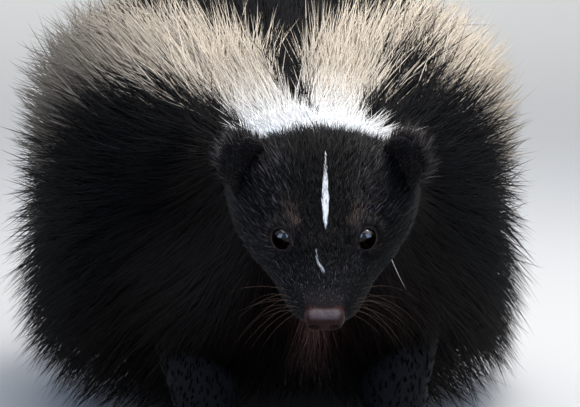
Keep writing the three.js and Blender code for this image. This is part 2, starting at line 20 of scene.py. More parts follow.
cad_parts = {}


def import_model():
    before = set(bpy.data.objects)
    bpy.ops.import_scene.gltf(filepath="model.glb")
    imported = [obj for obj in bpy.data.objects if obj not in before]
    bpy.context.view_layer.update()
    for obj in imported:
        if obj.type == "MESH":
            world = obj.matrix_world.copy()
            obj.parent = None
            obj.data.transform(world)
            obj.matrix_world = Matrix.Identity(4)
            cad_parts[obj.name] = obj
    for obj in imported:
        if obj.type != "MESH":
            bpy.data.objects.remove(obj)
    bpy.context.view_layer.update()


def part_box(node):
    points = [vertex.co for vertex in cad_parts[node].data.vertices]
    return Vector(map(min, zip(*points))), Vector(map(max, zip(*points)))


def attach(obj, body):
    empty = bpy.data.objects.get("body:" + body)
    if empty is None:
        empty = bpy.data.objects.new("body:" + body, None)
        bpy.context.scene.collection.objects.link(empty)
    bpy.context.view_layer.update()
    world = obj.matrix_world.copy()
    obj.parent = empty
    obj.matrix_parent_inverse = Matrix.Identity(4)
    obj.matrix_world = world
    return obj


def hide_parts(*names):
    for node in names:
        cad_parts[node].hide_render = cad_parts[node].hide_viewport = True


log = logging.getLogger("skunk")

MM = 0.001
SIDES = (1, -1)
TOES = range(-2, 3)
Array = np.ndarray
Piece = bpy.types.Object
Finish = bpy.types.Material
Socket = bpy.types.NodeSocket
Shell = tuple[Array, Array, Array]  # points, four-cornered faces and triangles
Lines = tuple[Array, Array, Array, Array]  # middle lines, their ways out, widths and twists
Rule = Callable[[Array, Array], Array]
Measure = Callable[[Array], Array]
Pair = tuple[float, float]
Triple = tuple[float, float, float]


class Slot(Enum):
    """The record's material slots."""

    DARK = "dark_fur"
    WHITE = "white_fur"
    NOSE = "nose_leather"
    EYE = "eye"
    CLAW = "claw"


# Maths on whole arrays


def unit(vectors: Array) -> Array:
    """Scales vectors to length one along the last axis."""
    return vectors / np.maximum(np.linalg.norm(vectors, axis=-1, keepdims=True), 1e-9)


def ease(x: Array, low: float, high: float) -> Array:
    """Rises smoothly from 0 at low to 1 at high: 3t^2 - 2t^3 of the clipped share t."""
    t = np.clip((x - low) / (high - low), 0.0, 1.0)
    return t * t * (3 - 2 * t)


def mix(a: Array, b: Array, share: Array) -> Array:
    """Goes from a to b as share goes from 0 to 1."""
    return a + (b - a) * share


def bell(*shares: Array) -> Array:
    """Falls smoothly from 1: e to the power of minus the sum of the squared shares."""
    return np.exp(-sum(share**2 for share in shares))


def through(rows: Array, s: Array) -> Array:
    """Reads a smooth curve through rows of numbers at fractional row numbers.

    The curve between two rows is the cubic whose slope at a row is half the step between the rows
    on either side of it; past the ends the rows are carried on straight.

    Args:
        rows: one row of numbers per station.
        s: station numbers, of any shape.

    Returns:
        The numbers at each s, with the row's length as the last axis.
    """
    rows = np.asarray(rows, float)
    s = np.asarray(s, float)
    last = len(rows) - 1
    place = np.clip(s, 0, last)
    i = np.minimum(place.astype(int), last - 1)
    w = (place - i)[..., None]
    ends = np.vstack([2 * rows[0] - rows[1], rows, 2 * rows[-1] - rows[-2]])
    before, here, then, after = ends[i], ends[i + 1], ends[i + 2], ends[i + 3]
    slope_in, slope_out = (then - before) / 2, (after - here) / 2
    square = -3 * here + 3 * then - 2 * slope_in - slope_out
    cube = 2 * here - 2 * then + slope_in + slope_out
    return here + slope_in * w + square * w**2 + cube * w**3


def curve(values: Sequence[float], s: Array) -> Array:
    """Reads the same smooth curve through single numbers, one per station."""
    return through(np.array(values)[:, None], s)[..., 0]


def ripple(points: Array, size: float, seed: int) -> Array:
    """Smooth noise from about -1 to 1: the sum of nine sine waves of random direction and phase.

    Args:
        points: places, with their coordinates as the last axis.
        size: the length of a wave, in the points' unit.
        seed: picks the waves.

    Returns:
        One number per point.
    """
    rng = np.random.default_rng(seed)
    waves = unit(rng.normal(size=(9, points.shape[-1]))) * rng.uniform(0.6, 1.6, (9, 1))
    phases = rng.uniform(0, 2 * np.pi, 9)
    angles = points @ (waves.T * 2 * np.pi / size) + phases
    return np.sin(angles).sum(-1) / 3.6


def squared(angle: Array, power: Array) -> Array:
    """Gives how far out a rounded square reaches: (|sin|^power + |cos|^power)^(-1/power)."""
    return (np.abs(np.sin(angle)) ** power + np.abs(np.cos(angle)) ** power) ** (-1 / power)


def unit_ball(share: Array, angle: Array) -> Array:
    """Gives points of a ball of radius 1 at a share of the way along y and an angle round it.

    Args:
        share: 0 at one end, 1 at the other.
        angle: radians round the ball.

    Returns:
        The points.
    """
    rise = -np.cos(np.pi * share)
    out = np.sqrt(np.maximum(1 - rise**2, 0))
    return np.stack([out * np.sin(angle), rise, out * np.cos(angle)], -1)


def rotation(axis: int, degrees: float) -> Array:
    """Gives the matrix of a turn about x, y or z, which are axes 0, 1 and 2.

    Args:
        axis: which axis.
        degrees: the turn's angle.

    Returns:
        The matrix.
    """
    i, j = (axis + 1) % 3, (axis + 2) % 3
    angle = math.radians(degrees)
    turn = np.eye(3)
    turn[i, i] = turn[j, j] = math.cos(angle)
    turn[i, j], turn[j, i] = -math.sin(angle), math.sin(angle)
    return turn


def turned(points: Array, degrees: Sequence[float]) -> Array:
    """Turns points by three angles, about x, then y, then z of the piece's own axes."""
    turn_x, turn_y, turn_z = (rotation(axis, angle) for axis, angle in enumerate(degrees))
    return points @ (turn_x @ turn_y @ turn_z).T


# Meshes from arrays


def loft(place: Rule, rings: int, around: int) -> Shell:
    """Makes a closed tube from a function of two parameters on a grid.

    The tube's rings are at t from 0 to 1 and its points at angles round it; a point at the middle of
    the first ring and one at the middle of the last close it with fans of triangles.

    Args:
        place: gives the points for arrays of t and angle.
        rings: the number of rings.
        around: the number of points on a ring.

    Returns:
        Points, four-cornered faces and triangles, facing out.
    """
    t = np.linspace(0, 1, rings)[:, None]
    angle = np.linspace(-np.pi, np.pi, around, endpoint=False)[None, :]
    grid = place(t + 0 * angle, angle + 0 * t).reshape(-1, 3)
    points = np.vstack([grid, grid[:around].mean(0), grid[-around:].mean(0)])
    i, j = np.meshgrid(np.arange(rings - 1), np.arange(around), indexing="ij")
    a, b = (i * around + j).ravel(), (i * around + (j + 1) % around).ravel()
    quads = np.stack([a, b, b + around, a + around], 1)
    ring = np.arange(around)
    after = (ring + 1) % around
    top = (rings - 1) * around
    low = np.stack([np.full(around, rings * around), after, ring], 1)
    high = np.stack([np.full(around, rings * around + 1), top + ring, top + after], 1)
    return outward(points, quads, np.vstack([low, high]))


def outward(points: Array, quads: Array, triangles: Array) -> Shell:
    """Turns a closed shell's faces over if its volume comes out negative.

    Args:
        points: the shell's points.
        quads: its four-cornered faces.
        triangles: its triangles.

    Returns:
        The shell, facing out.
    """
    split = np.vstack([quads[:, [0, 1, 2]], quads[:, [0, 2, 3]], triangles])
    a, b, c = points[split[:, 0]], points[split[:, 1]], points[split[:, 2]]
    if np.einsum("ij,ij->i", a, np.cross(b, c)).sum() < 0:
        return points, quads[:, ::-1], triangles[:, ::-1]
    return points, quads, triangles


def mirrored(shell: Shell) -> Shell:
    """Gives the shell's twin on the other side of the midline, facing out."""
    points, quads, triangles = shell
    return points * (-1, 1, 1), quads[:, ::-1], triangles[:, ::-1]


def together(shells: Sequence[Shell]) -> Shell:
    """Joins shells into one set of points and faces.

    Args:
        shells: the shells, one after the other.

    Returns:
        One shell.
    """
    points, quads, triangles, start = [], [], [], 0
    for some_points, some_quads, some_triangles in shells:
        points.append(some_points)
        quads.append(some_quads + start)
        triangles.append(some_triangles + start)
        start += len(some_points)
    return np.vstack(points), np.vstack(quads), np.vstack(triangles)


def new_object(name: str, shell: Shell, place: Array | None = None) -> Piece:
    """Makes a smooth-shaded mesh object.

    Args:
        name: the object's name.
        shell: points in millimetres, four-cornered faces and triangles.
        place: a shift in millimetres to add to every point.

    Returns:
        The object, linked to the scene.
    """
    points, quads, triangles = shell
    mesh = bpy.data.meshes.new(name)
    corners = np.concatenate([quads.ravel(), triangles.ravel()]).astype(np.int32)
    totals = np.concatenate([np.full(len(quads), 4), np.full(len(triangles), 3)]).astype(np.int32)
    mesh.vertices.add(len(points))
    shifted = points if place is None else points + place
    mesh.vertices.foreach_set("co", (shifted * MM).astype(np.float32).ravel())
    mesh.loops.add(len(corners))
    mesh.loops.foreach_set("vertex_index", corners)
    mesh.polygons.add(len(totals))
    mesh.polygons.foreach_set("loop_start", np.concatenate([[0], totals.cumsum()[:-1]]).astype(np.int32))
    mesh.polygons.foreach_set("loop_total", totals)
    mesh.polygons.foreach_set("use_smooth", np.ones(len(totals), bool))
    mesh.update(calc_edges=True)
    mesh.validate()
    made = bpy.data.objects.new(name, mesh)
    bpy.context.scene.collection.objects.link(made)
    return made


def set_colour(mesh: bpy.types.Mesh, name: str, colours: Array) -> None:
    """Stores one colour per point of a mesh.

    Args:
        mesh: the mesh.
        name: the colour's name.
        colours: n x 3 colours.
    """
    layer = mesh.color_attributes.new(name=name, type="FLOAT_COLOR", domain="POINT")
    flat = np.ones((len(mesh.vertices), 4), np.float32)
    flat[:, :3] = colours
    layer.data.foreach_set("color", flat.ravel())


def dress(made: Piece, tint: Array, finish: Finish) -> None:
    """Gives a piece its tint, its finish and its body, and reports it.

    Args:
        made: the piece.
        tint: one colour per point.
        finish: its material.
    """
    set_colour(made.data, "tint", tint)
    made.data.materials.append(finish)
    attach(made, "root")
    log.info("%s: %d faces", made.name, len(made.data.polygons))


def points_of(made: Piece) -> Array:
    """Reads an object's points, in millimetres.

    Args:
        made: the object.

    Returns:
        n x 3 places.
    """
    flat = np.empty(len(made.data.vertices) * 3, np.float32)
    made.data.vertices.foreach_get("co", flat)
    return flat.reshape(-1, 3).astype(float) / MM


def apply_modifiers(made: Piece) -> None:
    """Puts the result of an object's modifiers in its mesh and removes them.

    Args:
        made: the object.
    """
    graph = bpy.context.evaluated_depsgraph_get()
    result = bpy.data.meshes.new_from_object(made.evaluated_get(graph))
    result.materials.clear()
    result.polygons.foreach_set("material_index", np.zeros(len(result.polygons), np.int32))
    made.modifiers.clear()
    made.data = result


# The body's forms


@dataclass(frozen=True)
class Trunk:
    """The flesh and coat from the back of the head to the end of the tail.

    A station holds x, y and z of a section's centre, its tilt, its half width, its reach up and down,
    the depth of the coat over it, and how square its lower half is.
    """

    stations: tuple[tuple[float, ...], ...] = (
        (5, 28.8, 140.4, 41, 30, 20, 21, 6, 1),
        (5, 57, 134, 16, 34, 23, 32, 10, 0.95),
        (3, 88, 123, -4, 43, 30, 42, 14, 0.9),
        (1, 124, 110, -8, 57, 44, 54, 26, 0.7),
        (0, 172, 101, -4, 70, 56, 61, 36, 0.5),
        (0, 226, 98, 0, 78, 66, 57, 43, 0.45),
        (0, 280, 100, 4, 80, 68, 56, 47, 0.48),
        (0, 330, 106, 6, 70, 60, 51, 47, 0.6),
        (0, 368, 118, 4, 44, 38, 36, 44, 0.85),
        (0, 400, 126, 0, 18, 18, 18, 42, 1),
        (0, 446, 129, -4, 9, 9, 9, 44, 1),
        (1, 500, 122, -12, 8, 8, 8, 46, 1),
        (3, 552, 106, -17, 7, 7, 7, 46, 1),
        (6, 600, 91, -15, 5, 5, 5, 42, 1),
        (9, 640, 82, -8, 3, 3, 3, 34, 1),
        (12, 690, 78, 0, 1, 1, 1, 6, 1),
    )
    belly_coat: float = 0.78
    band_inner: tuple[float, ...] = (2, 2, 3.0, 5.2, 7.8, 24, 42, 56, 62, 60)
    band_outer: tuple[float, ...] = (74, 61, 31, 32, 39, 70, 108, 116, 112, 110)
    middle: float = 0.3
    cap_lean: float = 6.0
    cap_lobe: Pair = (51.0, 2.15)
    mottle: tuple[float, float, float, float] = (3.95, 37, 0.85, 10)
    cap_start: float = 0.55
    cap_end: float = 1.5
    band_end: float = 8.4
    skin_start: float = 0.05
    skin_end: float = 14.5
    pace_past_tip: float = 50.0

    def read(self, s: Array) -> Array:
        """Reads all the numbers of a station at fractional station numbers."""
        return through(np.array(self.stations), s)

    def coat_depth(self, s: Array, angle: Array) -> Array:
        """Gives the coat's depth, which is less on the underside by belly_coat."""
        below = ease(-np.cos(angle), 0, 0.9)
        return self.read(s)[..., 7] * (1 - (1 - self.belly_coat) * below)

    def point(self, s: Array, angle: Array, lift: Array) -> Array:
        """Gives a point of the trunk.

        It is the section's centre plus the rounded square's reach at the angle, times the half width
        plus the lift along x, and times the reach up or down plus the lift along the section's up.

        Args:
            s: station numbers.
            angle: angles from the midline of the back, in radians.
            lift: heights over the flesh.

        Returns:
            The points, with x, y, z as the last axis.
        """
        row = self.read(s)
        past = np.maximum(np.asarray(s, float) - len(self.stations) + 1, 0)
        tilt = np.radians(row[..., 3])
        below = np.cos(angle) < 0
        high = np.where(below, row[..., 6], row[..., 5]) + lift
        skirt = row[..., 8]
        square = np.where(below, skirt, 1 - (1 - skirt) * 0.35)
        far = squared(angle, 2 / square)
        rise = far * high * np.cos(angle)
        x = row[..., 0] + far * (row[..., 4] + lift) * np.sin(angle)
        y = row[..., 1] - rise * np.sin(tilt) + self.pace_past_tip * past
        return np.stack([x, y, row[..., 2] + rise * np.cos(tilt)], -1)

    def whiteness(self, s: Array, angle: Array, rough: float = 0.0, seed: int = 1) -> Array:
        """Says how far a place lies inside a white band or the cap, in degrees; below 0 is black.

        The bands run between the inner and the outer edge, measured from the middle, which leans over
        at the cap. The cap is white to the midline, has a lobe on the left, and starts higher at its
        sides.

        Args:
            s: station numbers.
            angle: angles from the midline of the back, in radians.
            rough: how far, in degrees, the edges wander.
            seed: picks the wandering.

        Returns:
            Degrees to the nearest edge, positive inside the white.
        """
        degrees = np.abs(np.degrees(angle) - self.cap_lean * (1 - ease(s, 1.2, 2.2)) - self.middle)
        edges = through(np.stack([self.band_inner, self.band_outer], 1), s)
        inner = np.where(s < self.cap_end, -90.0, edges[..., 0])
        wander = rough * ripple(np.stack([s * 12, np.degrees(angle)], -1), 9.0, seed) * ease(degrees, 5, 25)
        side = np.minimum(degrees - inner, edges[..., 1] - degrees)
        lobe = np.minimum(self.cap_lobe[0] - np.degrees(angle), (self.cap_lobe[1] - s) * 50)
        side = np.where(np.degrees(angle) > 20, np.maximum(side, lobe), side)
        start = self.cap_start + 0.12 * ease(np.abs(np.degrees(angle)), 14, 26)
        end = np.minimum((self.band_end - s) * 40, (s - start) * 50)
        return np.minimum(side, end) + wander

    def dark_share(self, s: Array, angle: Array) -> Array:
        """Gives the share of dark hairs among the white: on the left shoulder and low on the flanks.

        Args:
            s: station numbers.
            angle: radians from the midline of the back.

        Returns:
            Shares from 0 to 1.
        """
        degrees = np.degrees(angle)
        middle_s, middle_a, half_s, half_a = self.mottle
        shoulder = 0.93 * bell((s - middle_s) / half_s, (degrees - middle_a) / half_a)
        low = 0.4 * ease(np.abs(degrees), 62, 85) * ease(s, 3.8, 4.6)
        return np.maximum(shoulder, low)

    def shell(self) -> Shell:
        """Builds the flesh as a closed tube from the poll to the end of the tail's core."""
        start, long = self.skin_start, self.skin_end - self.skin_start
        return loft(lambda t, a: self.point(start + long * t, a, 0.5 + 0 * a), 200, 72)

    def find(self, points: Array) -> tuple[Array, Array]:
        """Finds the station and the angle of points on the skin.

        The station is the one, of a fine row of them, whose section's plane and centre lie nearest;
        the angle is that of the point in the section.

        Args:
            points: places near the trunk, one per row.

        Returns:
            Station numbers and angles in radians.
        """
        s = np.linspace(0, self.skin_end, 260)
        row = self.read(s)
        tilt = np.radians(row[:, 3])
        along = np.stack([0 * tilt, np.cos(tilt), np.sin(tilt)], 1)
        up = np.stack([0 * tilt, -np.sin(tilt), np.cos(tilt)], 1)
        ahead = points @ along.T - (row[:, :3] * along).sum(1)
        best = np.abs(ahead).argmin(1)
        offset = points - row[best, :3]
        return s[best], np.arctan2(offset[:, 0], (offset * up[best]).sum(1))


@dataclass(frozen=True)
class Head:
    """The head in its own frame: the eyes' line through its origin, the nose towards -y.

    A station holds y, the heights of the top and the underside, the half width, and the level of the
    widest part, all over the short fur.
    """

    stations: tuple[tuple[float, ...], ...] = (
        (-35, -2.4, -9, 5.2, -6),
        (-33, -0.7, -11.6, 8.6, -6.5),
        (-28.4, 1.8, -15.7, 12.6, -7.7),
        (-19.2, 5.3, -20.5, 17.2, -9),
        (-9.8, 8.9, -23.7, 21.4, -9.2),
        (0, 12.8, -26, 28.2, -8),
        (10, 16.6, -28, 33, -6.5),
        (20, 20, -29.5, 35.6, -5),
        (28, 22.2, -30, 36.4, -4),
        (35, 22.9, -30, 36.2, -3.6),
    )
    square: float = 2.25
    height: float = 120.0
    shift: float = 5.0
    pitch: float = 41.0
    yaw: float = -4.0
    eye: Triple = (15.6, -2.2, 3.9)
    eye_radius: float = 4.7
    facing: Triple = (0.56, -0.64, 0.53)
    lid_ring: float = 4.4
    lid_seat: float = 2.5
    mouth: tuple[float, float, float, float] = (-12.2, -15.0, -13.6, 4.0)
    lip_overlap: float = 1.3
    fur_muzzle: float = 0.5
    fur_crown: float = 2.4

    @property
    def axes(self) -> Array:
        """The head's axes in the animal's frame, as the columns of a matrix."""
        return rotation(2, self.yaw) @ rotation(0, self.pitch)

    def to_body(self, points: Array) -> Array:
        """Puts points of the head's frame in the animal's."""
        return points @ self.axes.T + (self.shift, 0, self.height)

    def mouth_height(self, y: Array) -> Array:
        """Gives the height of the mouth's line: a curve from the front, by a dip, to the corner.

        Args:
            y: places along the head.

        Returns:
            The heights, in the head's frame.
        """
        front, dip, corner, reach = self.mouth
        t = np.clip((y + 43) / (reach + 43), 0, 1)
        return front * (1 - t) ** 2 + 2 * dip * t * (1 - t) + corner * t**2

    def surface(self, t: Array, angle: Array) -> Array:
        """Gives points of the skin from t along the head and the angle from its top.

        The rounded square of the station, less the short fur's depth, is bent in to a flat round the
        eyes so that the lids' ring lies on it, swells at the whisker pads and brows, and folds in
        along the mouth's line, with the lower jaw set in under the lip.

        Args:
            t: 0 at the nose, 1 at the back of the head.
            angle: radians from the top, positive on the animal's left.

        Returns:
            The points in the head's frame.
        """
        row = through(np.array(self.stations), t * (len(self.stations) - 1))
        y, top, under, half, level = (row[..., i] for i in range(5))
        fur = self.fur_muzzle + (self.fur_crown - self.fur_muzzle) * ease(y, -28, 15)
        far = squared(angle, np.full_like(angle, self.square))
        high = np.where(np.cos(angle) > 0, top - level, level - under) - fur
        x = far * (half - fur) * np.sin(angle)
        z = level + far * high * np.cos(angle)
        points = np.stack([x, y, z], -1)
        out = unit(np.stack([x / half**2, 0 * y - 0.004, (z - level) / high**2], -1))
        pads = bell((np.abs(x) - 9) / 5, (y + 25) / 7, (z + 9) / 4.5)
        brows = bell((np.abs(x) - 13) / 5, (y - 6) / 5, (z - 11) / 6)
        below = self.mouth_height(y) - z
        front = 1 - ease(y, self.mouth[3] - 9, self.mouth[3])
        groove = -bell(below / 0.8) * front
        jaw = -self.lip_overlap * ease(below, -0.2, 0.6) * (1 - ease(below, 4, 11)) * front
        points = points + out * (1.1 * pads + 0.7 * brows + groove + jaw)[..., None]
        return self.around_eyes(points)

    def from_eye(self, points: Array, side: int) -> Array:
        """Gives the steps from the middle of one eye to points; side is 1 for the left, -1 for the right."""
        return points - np.array(self.eye) * (side, 1, 1)

    def round_eye(self, points: Array, side: int) -> tuple[Array, Array, Array]:
        """Gives an eye's facing, and how far points lie ahead along it and off its axis.

        Args:
            points: places in the head's frame.
            side: 1 for the left eye, -1 for the right.

        Returns:
            The facing, the distances along it and those from it.
        """
        facing = unit(np.array(self.facing)) * (side, 1, 1)
        offset = self.from_eye(points, side)
        ahead = offset @ facing
        return facing, ahead, np.linalg.norm(offset - ahead[..., None] * facing, axis=-1)

    def around_eyes(self, points: Array) -> Array:
        """Bends the skin round each eye to the plane that the lids' ring lies on.

        Args:
            points: places on the head, in its frame.

        Returns:
            The places after the bend.
        """
        for side in SIDES:
            facing, ahead, out = self.round_eye(points, side)
            hold = (1 - ease(out, 4.6, 10.5)) * ease(ahead, -6, -2)
            points = points + ((self.lid_seat - 0.3 - ahead) * hold)[..., None] * facing
        return points

    def shell(self) -> Shell:
        """Builds the head's skin as a closed tube, in the animal's frame."""
        return loft(lambda t, a: self.to_body(self.surface(t, a)), 110, 150)


@dataclass(frozen=True)
class Ear:
    """A low, round ear: a leaf with a cup hollowed out of its front."""

    seat: Triple = (30.5, 27.9, 10.9)
    wide: float = 9.8
    high: float = 14.6
    thick: float = 4.4
    turn: Triple = (-12.0, 10.0, -38.0)
    cup: float = 0.6

    def surface(self, t: Array, angle: Array) -> Array:
        """Gives points of a flattened ball whose front is pushed back into a cup.

        Args:
            t: 0 at the foot of the ear, 1 at its tip.
            angle: radians round its upright axis; 0 is the back.

        Returns:
            The points in the head's frame, for the animal's left ear.
        """
        x, rise, y = np.moveaxis(unit_ball(0.01 + 0.98 * t, angle), -1, 0)
        middle = np.sqrt(x**2 + (rise - 0.05) ** 2)
        push = self.cup * self.thick * (1 - ease(middle, 0.3, 0.86)) * ease(-y, 0, 0.25)
        local = np.stack([x * self.wide, y * self.thick + push, rise * self.high], -1)
        return turned(local, self.turn) + self.seat

    def shell(self) -> Shell:
        """Builds the left ear in the head's frame."""
        return loft(self.surface, 56, 72)


@dataclass(frozen=True)
class Limb:
    """A leg, a bent path whose thickness changes from joint to joint, with its paw and five toes."""

    name: str
    path: tuple[Triple, ...]
    radii: tuple[float, ...]
    shift: float
    pad: Pair
    pad_size: Triple
    toe_reach: float
    claw: float
    toe_spread: float = 5.7
    toe_size: float = 5.4
    inset: float = 1.2

    def surface(self, t: Array, angle: Array) -> Array:
        """Gives points of the leg at t down its path and an angle round it, 0 at the outer side.

        Args:
            t: 0 at the top, 1 at the foot.
            angle: radians round the leg.

        Returns:
            The points, on the animal's left.
        """
        s = t * (len(self.path) - 1)
        rows = np.array(self.path)
        here = through(rows, s)
        along = unit(through(rows, s + 0.03) - through(rows, s - 0.03))
        out = unit(np.array([1.0, 0, 0]) - along * along[..., :1])
        front = np.cross(out, along)
        size = through(np.array(self.radii)[:, None], s) - self.inset
        return here + size * (out * np.cos(angle)[..., None] + front * np.sin(angle)[..., None])

    def ball(self, centre: Array, sizes: Array, rings: int, around: int) -> Shell:
        """Builds an ellipsoid that is cut flat at the floor.

        Args:
            centre: its middle.
            sizes: its half sizes.
            rings: the number of rings.
            around: the number of points on a ring.

        Returns:
            The shell.
        """
        floor = (-np.inf, -np.inf, 0.5)

        def place(t: Array, angle: Array) -> Array:
            """Gives points at t from end to end and an angle round the ball."""
            return np.maximum(centre + unit_ball(0.02 + 0.96 * t, angle) * sizes, floor)

        return loft(place, rings, around)

    def toe_seat(self, k: int) -> Array:
        """Gives the middle of a toe; k counts from -2 to 2 across the paw."""
        x, y = self.pad
        return np.array([x + k * self.toe_spread, y - self.toe_reach + k * k * 1.5, 3.6])

    def balls(self) -> list[tuple[Array, Array]]:
        """Gives the middles and the half sizes of the pad and of the five toes.

        Returns:
            The pad's and then the toes' middles and sizes.
        """
        half, long, high = self.pad_size
        pad = (np.array([*self.pad, high * 0.45]), np.array([half - 0.8, long - 1, high * 0.58]))
        toe_sizes = np.array([2.8, self.toe_size * 1.3, 3.9])
        return [pad, *((self.toe_seat(k), toe_sizes) for k in TOES)]

    def shells(self) -> list[Shell]:
        """Builds the leg, its pad and its toes, on the animal's left.

        Returns:
            The shells.
        """
        pad, *toes = self.balls()
        leg = loft(self.surface, 30, 32)
        return [leg, self.ball(*pad, 24, 32), *(self.ball(*toe, 14, 16) for toe in toes)]

    def claw_shell(self, k: int) -> Shell:
        """Builds a claw: a horn that narrows from its root and curves forward and down.

        Args:
            k: the toe, from -2 to 2 across the paw.

        Returns:
            The shell.
        """
        seat = self.toe_seat(k) + (0, -self.toe_size * 0.9, 1.4)
        size = self.claw * (1 - 0.09 * k * k)

        def place(t: Array, angle: Array) -> Array:
            """Gives points at t from the root to the tip and an angle round the claw.

            Args:
                t: 0 at the root, 1 at the tip.
                angle: radians round the claw.

            Returns:
                The points.
            """
            thick = (1 - t**1.6) * 0.94 + 0.06
            drop = 3.4 * t * t + 0.4 * t
            x = seat[0] + 1.4 * thick * np.sin(angle)
            z = seat[2] - drop + 1.8 * thick * np.cos(angle) * (1 - 0.25 * (np.cos(angle) < 0))
            return np.stack([x, seat[1] - size * t, z], -1)

        return loft(place, 14, 12)


FORELEG = Limb(
    name="foreleg",
    path=((38, 128, 84), (43, 134, 56), (43, 116, 31), (42, 102, 8)),
    radii=(27, 24, 16, 13),
    shift=4,
    pad=(41, 93),
    pad_size=(14, 19, 11),
    toe_reach=18,
    claw=15,
)
HINDLEG = Limb(
    name="hindleg",
    path=((48, 300, 86), (58, 284, 60), (55, 306, 36), (53, 314, 9)),
    radii=(36, 29, 17, 13),
    shift=0,
    pad=(53, 291),
    pad_size=(14, 32, 11),
    toe_reach=31,
    claw=9,
)


# Shader maths and materials


@dataclass(frozen=True)
class Wire:
    """A socket of a node tree that can be added to and multiplied."""

    maker: "Material"
    socket: Socket

    def _math(self, kind: str, a: "Wire | float", b: "Wire | float") -> "Wire":
        """Adds a Math node of two values."""
        return self.maker.add("ShaderNodeMath", {"operation": kind}, {0: a, 1: b})

    def __add__(self, other: "Wire | float") -> "Wire":
        """Adds."""
        return self._math("ADD", self, other)

    def __mul__(self, other: "Wire | float") -> "Wire":
        """Multiplies."""
        return self._math("MULTIPLY", self, other)


class Material:
    """Builds one node material."""

    def __init__(self, name: str) -> None:
        """Starts an empty material with a Principled shader.

        Args:
            name: the material's name.
        """
        self.material = bpy.data.materials.new(name)
        self.material.use_nodes = True
        self.tree = self.material.node_tree
        self.tree.nodes.clear()
        self.shader = self.tree.nodes.new("ShaderNodeBsdfPrincipled")
        output = self.tree.nodes.new("ShaderNodeOutputMaterial")
        self.tree.links.new(self.shader.outputs[0], output.inputs["Surface"])

    def add(
        self, kind: str, settings: dict | None = None, inputs: dict | None = None, out: int | str = 0
    ) -> Wire:
        """Adds a node.

        Args:
            kind: the node's type.
            settings: its settings by name.
            inputs: values or wires by socket name or number.
            out: the output to return.

        Returns:
            The wire of that output.
        """
        node = self.tree.nodes.new(kind)
        for key, value in (settings or {}).items():
            setattr(node, key, value)
        for key, value in (inputs or {}).items():
            self._feed(node.inputs[key], value)
        return Wire(self, node.outputs[out])

    def _feed(self, socket: Socket, value: "Wire | float | Sequence[float]") -> None:
        """Links a wire to a socket, or sets its value.

        Args:
            socket: the input.
            value: a wire, a number or a colour.
        """
        if isinstance(value, Wire):
            self.tree.links.new(value.socket, socket)
        else:
            socket.default_value = value

    def set(self, **values: "Wire | float | Sequence[float]") -> None:
        """Feeds the shader's sockets; a name's underscores stand for spaces."""
        for key, value in values.items():
            self._feed(self.shader.inputs[key.replace("_", " ")], value)

    def attribute(self, name: str, out: str = "Color") -> Wire:
        """Reads a colour stored on the mesh."""
        return self.add("ShaderNodeAttribute", {"attribute_name": name}, out=out)

    def place(self) -> Wire:
        """Gives the Object coordinates."""
        return self.add("ShaderNodeTexCoord", out="Object")

    def noise(self, vector: Wire, scale: float, detail: float = 2.0, rough: float = 0.5) -> Wire:
        """Adds a noise pattern, from 0 to 1."""
        inputs = {"Vector": vector, "Scale": scale, "Detail": detail, "Roughness": rough}
        return self.add("ShaderNodeTexNoise", None, inputs)

    def scaled(self, colour: "Wire | Sequence[float]", by: Wire) -> Wire:
        """Multiplies a colour by a number."""
        return self.add("ShaderNodeVectorMath", {"operation": "SCALE"}, {0: colour, "Scale": by})

    def bump(self, height: Wire, strength: float, distance: float) -> Wire:
        """Adds a Bump node for the shader's normal."""
        inputs = {"Height": height, "Strength": strength, "Distance": distance}
        return self.add("ShaderNodeBump", None, inputs)


@dataclass(frozen=True)
class CoatFinish:
    """Hair: the tuft's own colour, broken up by fine streaks along it."""

    name: str
    roughness: float
    specular: float
    sheen: float = 0.0
    streak: float = 0.35

    def make(self) -> Finish:
        """Builds the material; it reads the tint attribute and the lie map.

        Returns:
            The material.
        """
        m = Material(self.name)
        lie = m.add("ShaderNodeUVMap", {"uv_map": "lie"})
        stretched = m.add("ShaderNodeMapping", None, {"Vector": lie, "Scale": (9.0, 0.7, 1.0)})
        streaks = m.noise(stretched, 1.0, 2.0)
        shade = streaks * (2 * self.streak) + (1 - self.streak)
        m.set(
            Base_Color=m.scaled(m.attribute("tint"), shade),
            Roughness=streaks * 0.2 + (self.roughness - 0.1),
            Normal=m.bump(streaks, 0.35, 0.0002),
            Specular_IOR_Level=self.specular,
            Sheen_Weight=self.sheen,
            Sheen_Roughness=0.35,
        )
        return m.material


@dataclass(frozen=True)
class SkinFinish:
    """Skin with very short fur lying flat on it, shown as fine broken bumps."""

    name: str = "skin"
    roughness: float = 0.7

    def make(self) -> Finish:
        """Builds the material; it reads the tint attribute and Object coordinates.

        Returns:
            The material.
        """
        m = Material(self.name)
        fine = m.noise(m.place(), 900.0, 3.0, 0.6)
        wide = m.noise(m.place(), 120.0, 2.0)
        m.set(
            Base_Color=m.scaled(m.attribute("tint"), fine * 0.8 + wide * 0.5 + 0.35),
            Roughness=wide * 0.2 + (self.roughness - 0.1),
            Specular_IOR_Level=0.15,
            Normal=m.bump(fine, 0.6, 0.0006),
        )
        return m.material


